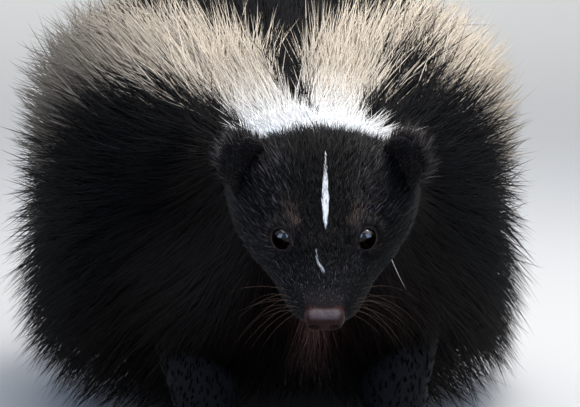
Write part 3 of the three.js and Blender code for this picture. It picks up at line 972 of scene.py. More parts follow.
@dataclass(frozen=True)
class LeatherFinish:
    """The nose's bare, moist leather: fine pebbles, and a darker red towards the nostrils, with painted shade
    in them.
    """

    name: str = "nose_leather"
    roughness: float = 0.42
    specular: float = 0.06
    gloss: float = 0.02

    def make(self) -> Finish:
        """Builds the material; it reads the tint attribute and Object coordinates.

        Returns:
            The material.
        """
        m = Material(self.name)
        pebbles = {"Vector": m.place(), "Scale": 1500.0}
        cells = m.add("ShaderNodeTexVoronoi", {"feature": "SMOOTH_F1"}, pebbles)
        blotch = m.noise(m.place(), 500.0, 3.0, 0.6)
        m.set(
            Base_Color=m.scaled(m.attribute("tint"), blotch + 0.5),
            Roughness=blotch * 0.3 + (self.roughness - 0.12),
            Normal=m.bump(cells, 0.8, 0.0004),
            Specular_IOR_Level=self.specular,
            Coat_Weight=self.gloss,
            Coat_Roughness=0.3,
        )
        return m.material


@dataclass(frozen=True)
class EyeFinish:
    """A wet dark eye: a near-black pupil in a dark brown iris under a gloss that is less below."""

    name: str = "eye"

    def make(self) -> Finish:
        """Builds the material; it reads the tint and wet attributes and Object coordinates.

        Returns:
            The material.
        """
        m = Material(self.name)
        fibres = m.noise(m.place(), 2500.0, 2.0)
        m.set(
            Base_Color=m.scaled(m.attribute("tint"), fibres * 0.8 + 0.6),
            Roughness=0.2,
            Specular_IOR_Level=0.0,
            Coat_Weight=m.attribute("wet", "Fac"),
            Coat_Roughness=0.02,
            Coat_IOR=1.8,
        )
        return m.material


@dataclass(frozen=True)
class ClawFinish:
    """Pale horn with fine streaks along the claw, browner at its root."""

    name: str = "claw_horn"
    root: Triple = (0.16, 0.11, 0.07)
    tip: Triple = (0.52, 0.44, 0.33)

    def make(self) -> Finish:
        """Builds the material; it reads the tint attribute and Object coordinates.

        Returns:
            The material.
        """
        m = Material(self.name)
        stretched = m.add("ShaderNodeMapping", None, {"Vector": m.place(), "Scale": (1.0, 0.12, 1.0)})
        streaks = m.noise(stretched, 1800.0, 2.0)
        m.set(
            Base_Color=m.scaled(m.attribute("tint"), streaks * 0.7 + 0.65),
            Roughness=streaks * 0.2 + 0.35,
            Normal=m.bump(streaks, 0.3, 0.0002),
        )
        return m.material


@dataclass(frozen=True)
class FloorFinish:
    """The studio's plain pale floor."""

    colour: Triple = (0.48, 0.48, 0.475)

    def make(self) -> Finish:
        """Builds a matte material of one pale colour.

        Returns:
            The material.
        """
        m = Material("studio_floor")
        m.set(Base_Color=(*self.colour, 1.0), Roughness=0.9)
        return m.material


# Tufts

PLACES = np.array([0.0, 0.48, 1.0])  # how far along a tuft its places are
UNDER = 0.3  # how far a tuft's edges lie under its middle line, over its ridge's height
RIDGE = 0.35  # the height of a tuft's ridge over its half width
ROUGH = 0.16  # how far short hairs stray from their flow


@dataclass
class Tufts:
    """Many tufts of hair as arrays: n tufts, each with k places along it from root to tip.

    centre, side and face are n x k x 3: the middle line, the way across the tuft and the way out of
    its ridge. half and deep are n x k: half its width, and the ridge's height. tint is n x k x 3, and
    root is n x 2: the root's place on the unwrap of the skin it grows on, from 0 to 1.
    """

    centre: Array
    side: Array
    face: Array
    half: Array
    deep: Array
    tint: Array
    root: Array

    def kept(self, which: Array) -> "Tufts":
        """Gives only the chosen tufts."""
        return Tufts(**{name: getattr(self, name)[which] for name in self.__dataclass_fields__})

    @staticmethod
    def joined(parts: Sequence["Tufts"]) -> "Tufts":
        """Joins sets of tufts."""
        names = Tufts.__dataclass_fields__
        return Tufts(**{name: np.concatenate([getattr(p, name) for p in parts]) for name in names})

    def halves(self) -> tuple["Tufts", "Tufts"]:
        """Parts the tufts by the side their roots are on: the left ones, then the right ones."""
        left = self.centre[:, 0, 0] > 0
        return self.kept(left), self.kept(~left)

    def shell(self) -> Shell:
        """Builds the tufts' faces.

        A tuft's section is a flat triangle: its ridge on the outer face and one edge to each side.
        Rings of three points are joined by four-cornered faces, a triangle closes the root, and
        three triangles meet at the tip.

        Returns:
            Points, four-cornered faces and triangles.
        """
        n, k = self.half.shape
        rings = k - 1
        out = self.face * self.deep[..., None]
        across = self.side * self.half[..., None]
        ridge = self.centre + out
        left = self.centre + across - UNDER * out
        right = self.centre - across - UNDER * out
        ring = np.stack([ridge, left, right], 2)[:, :rings].reshape(n, rings * 3, 3)
        points = np.concatenate([ring, self.centre[:, -1:]], 1)
        per = rings * 3 + 1
        start = (np.arange(n) * per)[:, None, None]
        tip, top = rings * 3, 3 * (rings - 1)
        r, i = np.repeat(np.arange(0, top, 3), 3), np.tile(np.arange(3), rings - 1)
        j = (i + 1) % 3
        quads = np.stack([r + i, r + j, r + 3 + j, r + 3 + i], 1)
        triangles = np.array([[0, 2, 1]] + [[top + i, top + (i + 1) % 3, tip] for i in range(3)])
        return points.reshape(-1, 3), (start + quads).reshape(-1, 4), (start + triangles).reshape(-1, 3)

    def per_point(self, values: Array) -> Array:
        """Spreads values per place along the tuft to the points of shell()."""
        rings = np.repeat(values[:, :-1], 3, axis=1)
        return np.concatenate([rings, values[:, -1:]], 1).reshape(-1, values.shape[-1])


def lay_tufts(centre: Array, out: Array, twist: Array) -> tuple[Array, Array]:
    """Works out the ways across and out of tufts along their middle lines.

    The way along is the step between the neighbouring places; across is along x out, then turned
    about the tuft by its twist.

    Args:
        centre: n x k x 3 middle lines.
        out: n x k x 3 directions away from the body.
        twist: n turns in radians.

    Returns:
        The side and face directions, n x k x 3 each.
    """
    along = np.empty_like(centre)
    along[:, 1:-1] = centre[:, 2:] - centre[:, :-2]
    along[:, 0] = centre[:, 1] - centre[:, 0]
    along[:, -1] = centre[:, -1] - centre[:, -2]
    along = unit(along)
    side = unit(np.cross(along, out))
    face = np.cross(side, along)
    cos, sin = np.cos(twist)[:, None, None], np.sin(twist)[:, None, None]
    return side * cos + face * sin, face * cos - side * sin


def blades(lines: Lines, tint: Array, root: Array) -> Tufts:
    """Makes tufts from middle lines.

    A tuft is widest at 0.4 of its length and ends in a point: its half width is half the width times
    0.25 + 0.75 sin(pi (0.2 + 0.8 t)), and its ridge stands RIDGE times the half width high.

    Args:
        lines: n x k x 3 middle lines and ways out, n widths, and n turns about the tuft in radians.
        tint: n x k x 3 colours.
        root: n x 2 places on the unwrap.

    Returns:
        The tufts.
    """
    centre, out, width, twist = lines
    share = (0.25 + 0.75 * np.sin(np.pi * (0.2 + 0.8 * PLACES))) * (PLACES < 1)
    half = width[:, None] / 2 * share
    side, face = lay_tufts(centre, out, twist)
    return Tufts(centre, side, face, half, RIDGE * half, tint, root)


def surface_frame(place: Rule, t: Array, angle: Array) -> tuple[Array, ...]:
    """Gives points of a surface of t and angle, its outward normals, and its area per unit of both.

    The normal is the cross product of the steps that small changes of t and of the angle make.

    Args:
        place: gives the surface's points.
        t: its first parameter.
        angle: its second.

    Returns:
        The points, the normals and the areas.
    """
    step = 1e-3
    here = place(t, angle)
    along = (place(t + step, angle) - here) / step
    around = (place(t, angle + step) - here) / step
    normal = np.cross(around, along)
    area = np.linalg.norm(normal, axis=-1)
    return here, unit(normal), area


@dataclass(frozen=True)
class Patch:
    """A stretch of a surface that hair grows on.

    along and around say from where to where, around in degrees; count is the number of tufts, and
    seed picks the random draws.
    """

    along: Pair
    around: Pair
    count: int
    seed: int

    def scatter(self, place: Rule, rows: float, weight: Measure | None = None) -> tuple[Array, ...]:
        """Spreads roots over the patch, by area and by a weight of the place.

        Five times as many random places are sorted into rows, and the roots are picked from them at
        even steps of the summed weights.

        Args:
            place: gives the surface's points.
            rows: how many rows there are per unit along it.
            weight: how likely each place is to have a root.

        Returns:
            t, angle, the points and the outward normals.
        """
        rng = np.random.default_rng(self.seed)
        tries = self.count * 5
        t = rng.uniform(*self.along, tries)
        angle = np.radians(rng.uniform(*self.around, tries))
        order = np.lexsort((angle, np.floor(t * rows)))
        t, angle = t[order], angle[order]
        here, normal, area = surface_frame(place, t, angle)
        if weight is not None:
            area = area * weight(here)
        steps = (np.arange(self.count) + rng.uniform(size=self.count)) / self.count
        total = np.cumsum(area)
        chosen = np.searchsorted(total, steps * total[-1])
        return t[chosen], angle[chosen], here[chosen], normal[chosen]

    def unwrap(self, t: Array, degrees: Array) -> Array:
        """Gives the roots' places on the skin's unwrap, from 0 to 1 across and along the patch."""
        u = (degrees - self.around[0]) / np.ptp(self.around)
        return np.stack([u, (t - self.along[0]) / np.ptp(self.along)], -1)


class Colours:
    """The coat's and the skin's colours, as linear light."""

    BLACK = np.array([0.0018, 0.0020, 0.0029])
    # Silvery hairs, partly painted sheen.
    SILVER_GLINT = np.array([0.053, 0.047, 0.048])
    HEAD = np.array([0.0052, 0.0044, 0.0043])
    BROWN_BLACK = np.array([0.0105, 0.0060, 0.0046])
    CHIN = np.array([0.19, 0.10, 0.082])
    MUZZLE = np.array([0.12, 0.078, 0.062])
    BARE_BROWN = np.array([0.16, 0.10, 0.078])
    LID = np.array([0.20, 0.125, 0.10])
    WHITE = np.array([0.91, 0.91, 0.90])
    CREAM = np.array([0.57, 0.49, 0.39])
    TAN = np.array([0.55, 0.46, 0.355])
    SOLE = np.array([0.05, 0.035, 0.03])


@dataclass(frozen=True)
class LongCoat:
    """The long hair of the neck, body and tail, laid along the trunk from stations and angles."""

    trunk: Trunk
    lengths: tuple[float, ...] = (12, 20, 34, 50, 62, 72, 80, 84, 86, 88, 90, 90, 88, 80, 66, 40)
    widths: tuple[float, ...] = (
        0.36, 0.4, 0.46, 0.54, 0.62, 0.7, 0.8, 0.85, 0.9, 0.9, 0.95, 1, 1, 0.95, 0.9, 0.8
    )
    pace: float = 46.0
    sink: float = 3.0
    clump: float = 7.5
    gather: float = 0.55
    sway: float = 7.0
    droop: float = 7.0
    hang: float = 22.0
    flare: float = 0.12
    tuck: float = 0.42
    swell: tuple[float, float, float, float, float] = (5.9, 50.0, 1.2, 20.0, 0.26)

    def under(self, s: Array, angle: Array) -> Array:
        """Gives points at 0.4 of the coat's depth over the flesh."""
        return self.trunk.point(s, angle, self.trunk.coat_depth(s, angle) * 0.4)

    def roots(self, patch: Patch) -> tuple[Array, ...]:
        """Spreads roots evenly over a patch: station numbers and angles in radians."""
        return patch.scatter(self.under, 12)[:2]

    def clumped(self, s: Array, angle: Array, seed: int) -> tuple[Array, Array]:
        """Gives the middle of the clump that each root belongs to.

        Clumps are cells of a grid over the skin, about clump wide, each moved by a random share.

        Args:
            s: station numbers of the roots.
            angle: their angles in radians.
            seed: picks the clumps.

        Returns:
            The stations and angles of the clumps.
        """
        girth = self.trunk.read(s)[..., 4] + 10
        long = self.clump * 1.6
        rows = np.floor(s * self.pace / long).astype(int)
        cells = 2 * np.pi * girth / self.clump
        cols = np.floor((angle + np.pi) / (2 * np.pi) * cells).astype(int)
        table = np.random.default_rng(seed).uniform(0.15, 0.85, (97, 89, 2))
        shift = table[rows % 97, cols % 89]
        middle_s = (rows + shift[:, 0]) * long / self.pace
        middle_a = (cols + shift[:, 1]) / cells * 2 * np.pi - np.pi
        return middle_s, middle_a

    def grow(self, s: Array, angle: Array, seed: int) -> Lines:
        """Works out middle lines from roots.

        A hair starts sink under the flesh, runs back, rises to its share of the coat's depth as
        sin(pi t / 2), leans to its clump's middle, sways with a smooth noise, and droops by the
        square of t. Low on the front flanks flare adds to the depth and hang to the droop, tuck
        takes depth off under the back ones, and swell adds a bell of it on each hip.

        Args:
            s: station numbers of the roots.
            angle: angles of the roots in radians.
            seed: picks the variation.

        Returns:
            Middle lines and outward directions, n x k x 3 each, the widths and the twists.
        """
        rng = np.random.default_rng(seed)
        n = len(s)
        t = PLACES[None, :]
        length = curve(self.lengths, s) * rng.uniform(0.72, 1.12, n)
        step = self.trunk.point(s + 0.5, angle, 0) - self.trunk.point(s - 0.5, angle, 0)
        pace = np.maximum(np.linalg.norm(step, axis=1), 30.0)
        top = np.where(rng.uniform(size=n) < 0.62, rng.uniform(0.82, 1.06, n), rng.uniform(0.4, 0.85, n))
        middle_s, middle_a = self.clumped(s, angle, seed + 1)
        pull = self.gather * rng.uniform(0.5, 1.0, n)
        spot = np.stack([s * 3, angle * 2], -1)
        drift = np.radians(self.sway) * (0.7 * ripple(spot, 2.2, seed + 2) + 0.35 * rng.normal(size=n))
        at = s[:, None] + (length / pace)[:, None] * t
        at = at + (pull * (middle_s - s) * 0.7)[:, None] * t**1.5
        turn = angle[:, None] + (pull * (middle_a - angle))[:, None] * t**1.5 + drift[:, None] * t**2
        low = np.abs((turn + np.pi) % (2 * np.pi) - np.pi)
        where = ease(s, 2.0, 3.5) * (1 - 0.85 * ease(s, 5.0, 6.0))
        hang = ease(low, 1.2, 1.85) * (1 - ease(low, 2.5, 3.0)) * where[:, None]
        tuck = self.tuck * ease(low, 1.8, 2.6) * (ease(s, 5.2, 6.2) * (1 - ease(s, 8.0, 9.0)))[:, None]
        top_s, top_a, half_s, half_a, more = self.swell
        swell = more * bell((at - top_s) / half_s, (np.degrees(np.abs(turn)) - top_a) / half_a)
        depth = self.trunk.coat_depth(at, turn) * (1 + self.flare * hang - tuck + swell)
        rise = np.sin(np.pi / 2 * t) * (1 + 0.05 * rng.normal(size=n))[:, None]
        lift = -self.sink + (depth * top[:, None] + self.sink) * rise
        centre = self.trunk.point(at, turn, lift)
        out = unit(self.trunk.point(at, turn, lift + 8) - centre)
        centre[..., 2] -= (self.droop + self.hang * hang) * t**2 * np.abs(np.sin(turn))
        centre[..., 2] = np.maximum(centre[..., 2], 3.5 - 2 * t)
        width = curve(self.widths, s) * rng.uniform(0.55, 1.25, n)
        return centre, out, width, rng.uniform(-0.6, 0.6, n)


@dataclass(frozen=True)
class ShortCoat:
    """Short hair laid on a surface of two parameters."""

    place: Rule
    lengths: Measure
    flow: Rule
    rise: float = 0.34
    width: float = 0.5
    sink: float = 0.5

    def roots(self, patch: Patch, weight: Measure | None = None) -> tuple[Array, ...]:
        """Spreads roots over a patch: t, angle, the points and the outward normals."""
        return patch.scatter(self.place, 60, weight)

    def grow(self, here: Array, normal: Array, seed: int, rough: float = ROUGH) -> Lines:
        """Works out middle lines: the root, a step along the flow, and a rise that levels off.

        The rise is the length times rise times 1 - (1 - t)^2 along the normal.

        Args:
            here: the roots.
            normal: the outward normals there.
            seed: picks the variation.
            rough: how far the hairs stray from the flow.

        Returns:
            Middle lines and outward directions, n x k x 3 each, the widths and the twists.
        """
        rng = np.random.default_rng(seed)
        n = len(here)
        t = PLACES[None, :, None]
        length = (self.lengths(here) * rng.uniform(0.7, 1.2, n))[:, None, None]
        flow = self.flow(here, normal) + rough * rng.normal(size=(n, 3))
        flow = unit(flow - normal * (flow * normal).sum(1)[:, None])[:, None, :]
        up = normal[:, None, :]
        rise = (self.rise * rng.uniform(0.6, 1.3, n))[:, None, None]
        centre = here[:, None, :] - up * self.sink
        centre = centre + flow * length * t * 0.94 + up * (length * rise * (1 - (1 - t) ** 2) + self.sink * t)
        width = self.width * rng.uniform(0.6, 1.3, n)
        return centre, np.broadcast_to(up, centre.shape), width, rng.uniform(-0.9, 0.9, n)


@dataclass
class CoatPiece:
    """One joined mesh of tufts, with the slot whose finish it takes."""

    name: str
    slot: Slot
    tufts: Tufts
    patch: float = 0.003

    def build(self, finish: Finish, shift: Array) -> None:
        """Makes the object, with its tint and its two maps.

        The map named lie runs across and along each tuft, at a random place of its own. On the map
        named OFBake each tuft is a small patch at its root's place on the skin's unwrap.

        Args:
            finish: the coat's material.
            shift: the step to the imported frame, in millimetres.
        """
        tufts = self.tufts
        made = new_object(self.name, tufts.shell(), shift)
        n, k = tufts.half.shape
        t = np.broadcast_to(np.linspace(0, 1, k), (n, k))
        corner = np.tile([0.5, 1.0, 0.0], k - 1)
        across = np.concatenate([np.broadcast_to(corner, (n, 3 * (k - 1))), np.full((n, 1), 0.5)], 1)
        along = np.concatenate([np.repeat(t[:, :-1], 3, axis=1), np.ones((n, 1))], 1)
        rng = np.random.default_rng(5)
        wide = rng.uniform(0.6, 1.4, (n, 1))
        lie = np.stack([across * wide + rng.uniform(0, 50, (n, 1)), along + rng.uniform(0, 50, (n, 1))], -1)
        spread = np.stack([across - 0.5, along - 0.5], -1) * self.patch
        bake = 0.02 + 0.96 * np.clip(tufts.root, 0, 1)[:, None, :] + spread
        corners = np.empty(len(made.data.loops), np.int32)
        made.data.loops.foreach_get("vertex_index", corners)
        for name, values in (("lie", lie), ("OFBake", bake)):
            layer = made.data.uv_layers.new(name=name)
            layer.uv.foreach_set("vector", values.reshape(-1, 2)[corners].astype(np.float32).ravel())
        dress(made, tufts.per_point(tufts.tint), finish)


def shaded(base: Array, tip: Array, count: int, seed: int, spread: float = 0.35) -> Array:
    """Gives each tuft its own shade of the base, going to the tip's colour along it.

    Args:
        base: n x 3 or 3 colours at the root.
        tip: n x 3 or 3 colours at the tip.
        count: the number of tufts.
        seed: picks the variation.
        spread: how far a tuft may be lighter or darker.

    Returns:
        n x k x 3 colours.
    """
    rng = np.random.default_rng(seed)
    t = PLACES[None, :, None] ** 0.8
    own = np.exp(spread * rng.normal(size=(count, 1, 1)))
    low = np.broadcast_to(base, (count, 3))[:, None, :]
    high = np.broadcast_to(tip, (count, 3))[:, None, :]
    return np.clip(mix(low, high, t) * np.clip(own, 0.4, 2.2), 0, 0.93)


@dataclass
class Coat:
    """All the hair of the animal, region by region."""

    trunk: Trunk
    head: Head
    ear: Ear
    limbs: tuple[Limb, ...]
    long: LongCoat
    plume: Patch = Patch((8.3, 14.5), (-180, 180), 11000, 31)
    mid_blaze: Pair = (-4.0, 24.5)
    bare_spots: tuple[tuple[float, float, float, float], ...] = (
        (12.3, 3.0, 11.4, 1.7),
        (11.6, 0.9, 11.0, 1.5),
        (10.9, -1.4, 10.4, 1.5),
        (12.6, -7.4, 4.6, 1.7),
    )
    blaze_halves: tuple[float, ...] = (0.2, 1.0, 0.95, 0.42, 0.1)
    pad_tufts: int = 500
    toe_tufts: int = 90

    def pieces(self) -> list[CoatPiece]:
        """Grows every region of the coat.

        Returns:
            The pieces.
        """
        dark, white = Slot.DARK, Slot.WHITE
        cap_white, neck_dark = self.body(Patch((0.15, 2.3), (-180, 180), 20000, 21))
        stripes, flanks = self.body(Patch((2.2, 8.5), (-122, 122), 40000, 22))
        under = self.body(Patch((2.2, 8.6), (116, 244), 9000, 23))[1]
        face_left, face_right = self.face().halves()
        flank_left, flank_right = flanks.halves()
        return [
            CoatPiece("coat_muzzle", dark, self.muzzle()),
            CoatPiece("coat_face_left", dark, face_left),
            CoatPiece("coat_face_right", dark, face_right),
            CoatPiece("coat_throat", dark, self.throat()),
            CoatPiece("coat_ears", dark, self.ears()),
            CoatPiece("coat_blaze", white, self.blaze()),
            CoatPiece("coat_cap", white, cap_white),
            CoatPiece("coat_neck", dark, neck_dark),
            CoatPiece("coat_stripes", white, stripes),
            CoatPiece("coat_flank_left", dark, flank_left),
            CoatPiece("coat_flank_right", dark, flank_right),
            CoatPiece("coat_belly", dark, under),
            CoatPiece("coat_tail", dark, self.tail()),
            CoatPiece("coat_legs", dark, self.legs()),
        ]

    def body(self, patch: Patch) -> tuple[Tufts, Tufts]:
        """Grows a patch of the trunk's coat and parts it by its markings.

        Args:
            patch: where it grows.

        Returns:
            The white tufts and the dark ones.
        """
        count, seed = patch.count, patch.seed
        s, angle = self.long.roots(patch)
        centre, out, width, twist = self.long.grow(s, angle, seed)
        wrapped = (angle + np.pi) % (2 * np.pi) - np.pi
        shows = s + 0.5 * curve(self.long.lengths, s) / self.long.pace
        white = self.trunk.whiteness(np.minimum(shows, s + 0.8), wrapped, 2.5, 4)
        rng = np.random.default_rng(seed + 7)
        loose = 0.8 + 3.4 * ease(np.abs(wrapped), 0.3, 0.6) * ease(s, 1.8, 3.0)
        is_white = white + rng.normal(size=count) * loose > 0
        is_white &= rng.uniform(size=count) > self.trunk.dark_share(shows, wrapped)
        near = ease(s, 2.6, 1.2)[:, None]
        # Painted shade: the white hair turns to a dark, dull tan low on both flanks and on the right flank,
        # where the light falls off, fading out towards the back.
        right_flank_shade = ease(-wrapped, 0.4, 0.95) * ease(s, 2.7, 4.0)
        side_shade = np.maximum(0.8 * ease(np.abs(wrapped), 0.8, 1.4) * ease(s, 3.5, 5.0), right_flank_shade)
        side_shade = (side_shade * (1 - 0.75 * ease(s, 5.6, 7.0)))[:, None]
        shade_depth = (0.33 - 0.1 * ease(s, 3.4, 4.4))[:, None]
        cream = mix(mix(Colours.CREAM, Colours.WHITE, near), Colours.TAN * shade_depth, side_shade)
        tan = mix(mix(Colours.TAN, Colours.WHITE * 0.95, near), Colours.TAN * shade_depth * 0.9, side_shade)
        chest = ease(-np.cos(wrapped), 0.1, 0.8) * ease(s, 5.0, 2.0)
        off_chin = (wrapped - np.radians(174) + np.pi) % (2 * np.pi) - np.pi
        chin = bell((s - 1.7) / 0.5, off_chin / 0.11)
        # Lighter grey hair on the upper neck by the head: partly the ruff's own grey, partly painted sheen.
        ruff_sheen = 0.9 * ease(s, 2.1, 1.5) * ease(-np.cos(wrapped), 0.6, 0.0)
        # Painted light: the hair low beside the neck is made lighter where the light is dim, more on the
        # right side.
        painted_light_beside = ease(np.abs(wrapped), 1.5, 1.85) * ease(np.abs(wrapped), 2.85, 2.4) * ease(s, 2.6, 1.6)
        painted_light_beside = painted_light_beside * np.where(wrapped < 0, 1.0, 0.4)
        black = mix(Colours.BLACK, Colours.BROWN_BLACK, chest[:, None])
        black = mix(black, Colours.HEAD * 4.6, painted_light_beside[:, None])
        black = mix(mix(black, Colours.HEAD * 1.7, ruff_sheen[:, None]), Colours.CHIN, chin[:, None])
        base = np.where(is_white[:, None], tan, black * 0.8)
        tip = np.where(is_white[:, None], cream, black * 1.15)
        pale = shaded(base, tip, count, seed + 8, 0.09)
        tint = np.where(is_white[:, None, None], pale, shaded(base, tip, count, seed + 9, 0.4))
        lower = np.degrees(np.where(patch.around[1] > 180, angle % (2 * np.pi), angle))
        width = width * np.where(is_white, 1.3, 1.0)
        twist = twist * np.where(is_white, 0.5, 1.0)
        tufts = blades((centre, out, width, twist), tint, patch.unwrap(s, lower))
        return tufts.kept(is_white), tufts.kept(~is_white)

    def tail(self) -> Tufts:
        """Grows the tail's plume, black with white hairs mixed in, more of them at its end.

        Returns:
            The tufts.
        """
        patch = self.plume
        s, angle = self.long.roots(patch)
        rng = np.random.default_rng(32)
        pale = rng.uniform(size=patch.count) < 0.05 + 0.2 * ease(s, 11.5, patch.along[1])
        base = np.where(pale[:, None], Colours.TAN, Colours.BLACK * 0.8)
        tip = np.where(pale[:, None], Colours.CREAM, Colours.BLACK * 1.2)
        tint = shaded(base, tip, patch.count, 33, 0.2)
        return blades(self.long.grow(s, angle, patch.seed), tint, patch.unwrap(s, np.degrees(angle)))

    def flow_on_head(self, here: Array, normal: Array) -> Array:
        """Gives the way the head's hair lies: back from the nose, out from the midline, round the eyes.

        Args:
            here: places in the head's frame.
            normal: the outward normals there, which change nothing.

        Returns:
            The flow at each place.
        """
        x, y, z = here[:, 0], here[:, 1], here[:, 2]
        flow = np.stack([x * 0.012, np.ones_like(x), 0.1 * np.ones_like(x)], 1)
        flow[:, 0] += 0.25 * np.sign(x) * ease(np.abs(x), 1, 12) * ease(y, -25, 0)
        for side in SIDES:
            away = self.head.from_eye(here, side)
            near = bell(np.linalg.norm(away, axis=1) / 9.0)
            flow += 0.9 * near[:, None] * unit(away)
        low = ease(-z, 6, 20) * ease(y, -10, 15)
        flow[:, 2] -= 0.3 * low
        return flow

    def keeps_clear(self, here: Array) -> Array:
        """Weights places on the head for hair: none on the eyes, the nose pad or the mouth's line.

        Args:
            here: places in the head's frame.

        Returns:
            The weights, from 0 to 1.
        """
        weight = 1 - 0.7 * self.bare(here)
        for side in SIDES:
            _, ahead, off_axis = self.head.round_eye(here, side)
            weight *= 1 - (ahead > -3) * (1 - ease(off_axis, 4.3, 4.8))
        x, y, z = here.T
        pad = ((x / 8.2) ** 2 + ((z + 5.6) / 5.2) ** 2 < 1) & (y < -32.4)
        below = np.abs(self.head.mouth_height(y) - z)
        mouth = (below < 0.5) & (y < self.head.mouth[3] - 3)
        return weight * ~pad * ~mouth

    def on_head(self, coat: ShortCoat, patch: Patch, rough: float) -> tuple[Tufts, Array]:
        """Grows short hair over a stretch of the head, clear of the eyes, the nose and the mouth.

        Args:
            coat: the hair's form.
            patch: where it grows.
            rough: how far the hairs stray from the flow.

        Returns:
            The tufts, and their roots in the head's frame.
        """
        t, angle, here, normal = coat.roots(patch, self.keeps_clear)
        lines = self.in_body(coat.grow(here, normal, patch.seed + 1, rough))
        tint = self.head_tint(here, patch.seed + 2)
        return blades(lines, tint, patch.unwrap(t, np.degrees(angle))), here

    def head_coat(self, lengths: Measure, rise: float, width: float) -> ShortCoat:
        """Sets up short hair on the head's skin."""
        return ShortCoat(self.head.surface, lengths, self.flow_on_head, rise, width)

    def in_body(self, lines: Lines) -> Lines:
        """Turns middle lines of the head's frame into the animal's."""
        centre, out, width, twist = lines
        return self.head.to_body(centre), out @ self.head.axes.T, width, twist

    def bare(self, here: Array) -> Array:
        """Says how thin the hair is: a bell round each spot over the eyes and at their inner corners.

        Args:
            here: places in the head's frame.

        Returns:
            Shares from 0 to 1.
        """
        thin = np.zeros(len(here))
        for side in SIDES:
            for x, y, z, reach in self.bare_spots:
                away = np.linalg.norm(here - (x * side, y, z), axis=1)
                thin = np.maximum(thin, bell(away / reach))
        return thin

    def brownness(self, here: Array) -> Array:
        """Says how brown places of the head are, from 0 to 1.

        It is 0.4 over the nose, as bare() says on the thin spots, and faint in a ring round the lids.

        Args:
            here: places in the head's frame.

        Returns:
            Shares from 0 to 1.
        """
        brown = 0.4 * ease(here[:, 1], -25, -34) * ease(np.abs(here[:, 0]), 9, 6) + self.bare(here)
        for side in SIDES:
            ring = np.linalg.norm(self.head.from_eye(here, side), axis=1)
            brown = brown + 0.2 * bell((ring - 5.3) / 1.5)
        return np.clip(brown, 0, 1)

    def head_tint(self, here: Array, seed: int) -> Array:
        """Gives the head's dark tints, browner where the skin shows, with some silvery hairs that are partly
        painted sheen.

        They carry painted shade in the brow's middle and on the left jaw and cheek, with fewer silvery hairs
        there.

        Args:
            here: the roots, in the head's frame.
            seed: picks the variation.

        Returns:
            n x k x 3 colours.
        """
        brown = self.brownness(here)[:, None]
        throat = (ease(-here[:, 2], 10, 22) * 0.8)[:, None]
        below = self.head.mouth_height(here[:, 1]) - here[:, 2]
        chin = (ease(below, 0, 1.5) * ease(-here[:, 1], 8, 24))[:, None]
        base = mix(mix(Colours.HEAD, Colours.BROWN_BLACK, throat), Colours.MUZZLE, brown)
        base = mix(base, Colours.CHIN * 0.5, chin)
        base = mix(base, Colours.BARE_BROWN * 0.7, 0.75 * self.bare(here)[:, None])
        x, y = here[:, 0], here[:, 1]
        # Painted shade: darker in the brow's middle and on the left jaw and cheek.
        brow = 0.95 * ease(np.abs(x), 14, 7) * ease(-y, 24, 13)
        jaw = 0.7 * ease(x / (27 + 0.5 * np.minimum(y, 0)), 0.5, 0.85) * ease(y, 12, 0)
        cheek = 0.6 * ease(x, 18, 28) * ease(y, 6, 14)
        head_shade = np.maximum(np.maximum(brow, jaw), cheek)[:, None]
        # A share of hairs painted silver: partly lighter hairs, partly painted sheen.
        glint = np.random.default_rng(seed + 9).uniform(size=(len(here), 1)) < 0.2 * (1 - head_shade)
        base = np.where(glint & (brown < 0.3), Colours.SILVER_GLINT, base * 0.7) * (1 - 0.6 * head_shade)
        return shaded(base, base * 1.3, len(here), seed, 0.55)

    def muzzle(self) -> Tufts:
        """Grows the very short hair of the muzzle and the lips."""
        coat = self.head_coat(lambda p: 1.5 + 2.2 * ease(p[:, 1], -34, -8), 0.26, 0.3)
        return self.on_head(coat, Patch((0.04, 0.5), (-180, 180), 12000, 41), 0.2)[0]

    def in_blaze(self, here: Array, grown: float = 0.0) -> Array:
        """Says which places on the forehead lie in the blaze, widened by grown.

        Its half width follows a smooth curve through blaze_halves from its lower end to its upper
        one, and its middle moves over by 0.1 mm on the way up.

        Args:
            here: places in the head's frame.
            grown: the widening, in millimetres.

        Returns:
            True for the places inside.
        """
        x, y, z = here.T
        low, high = self.mid_blaze
        t = np.clip((y - low) / (high - low), 0, 1)
        half = curve(self.blaze_halves, t * (len(self.blaze_halves) - 1))
        middle = 0.5 + 0.1 * ease(t, 0.2, 1.0)
        return (z > 0) & (np.abs(x - middle) < half + grown) & (y > low - grown) & (y < high)

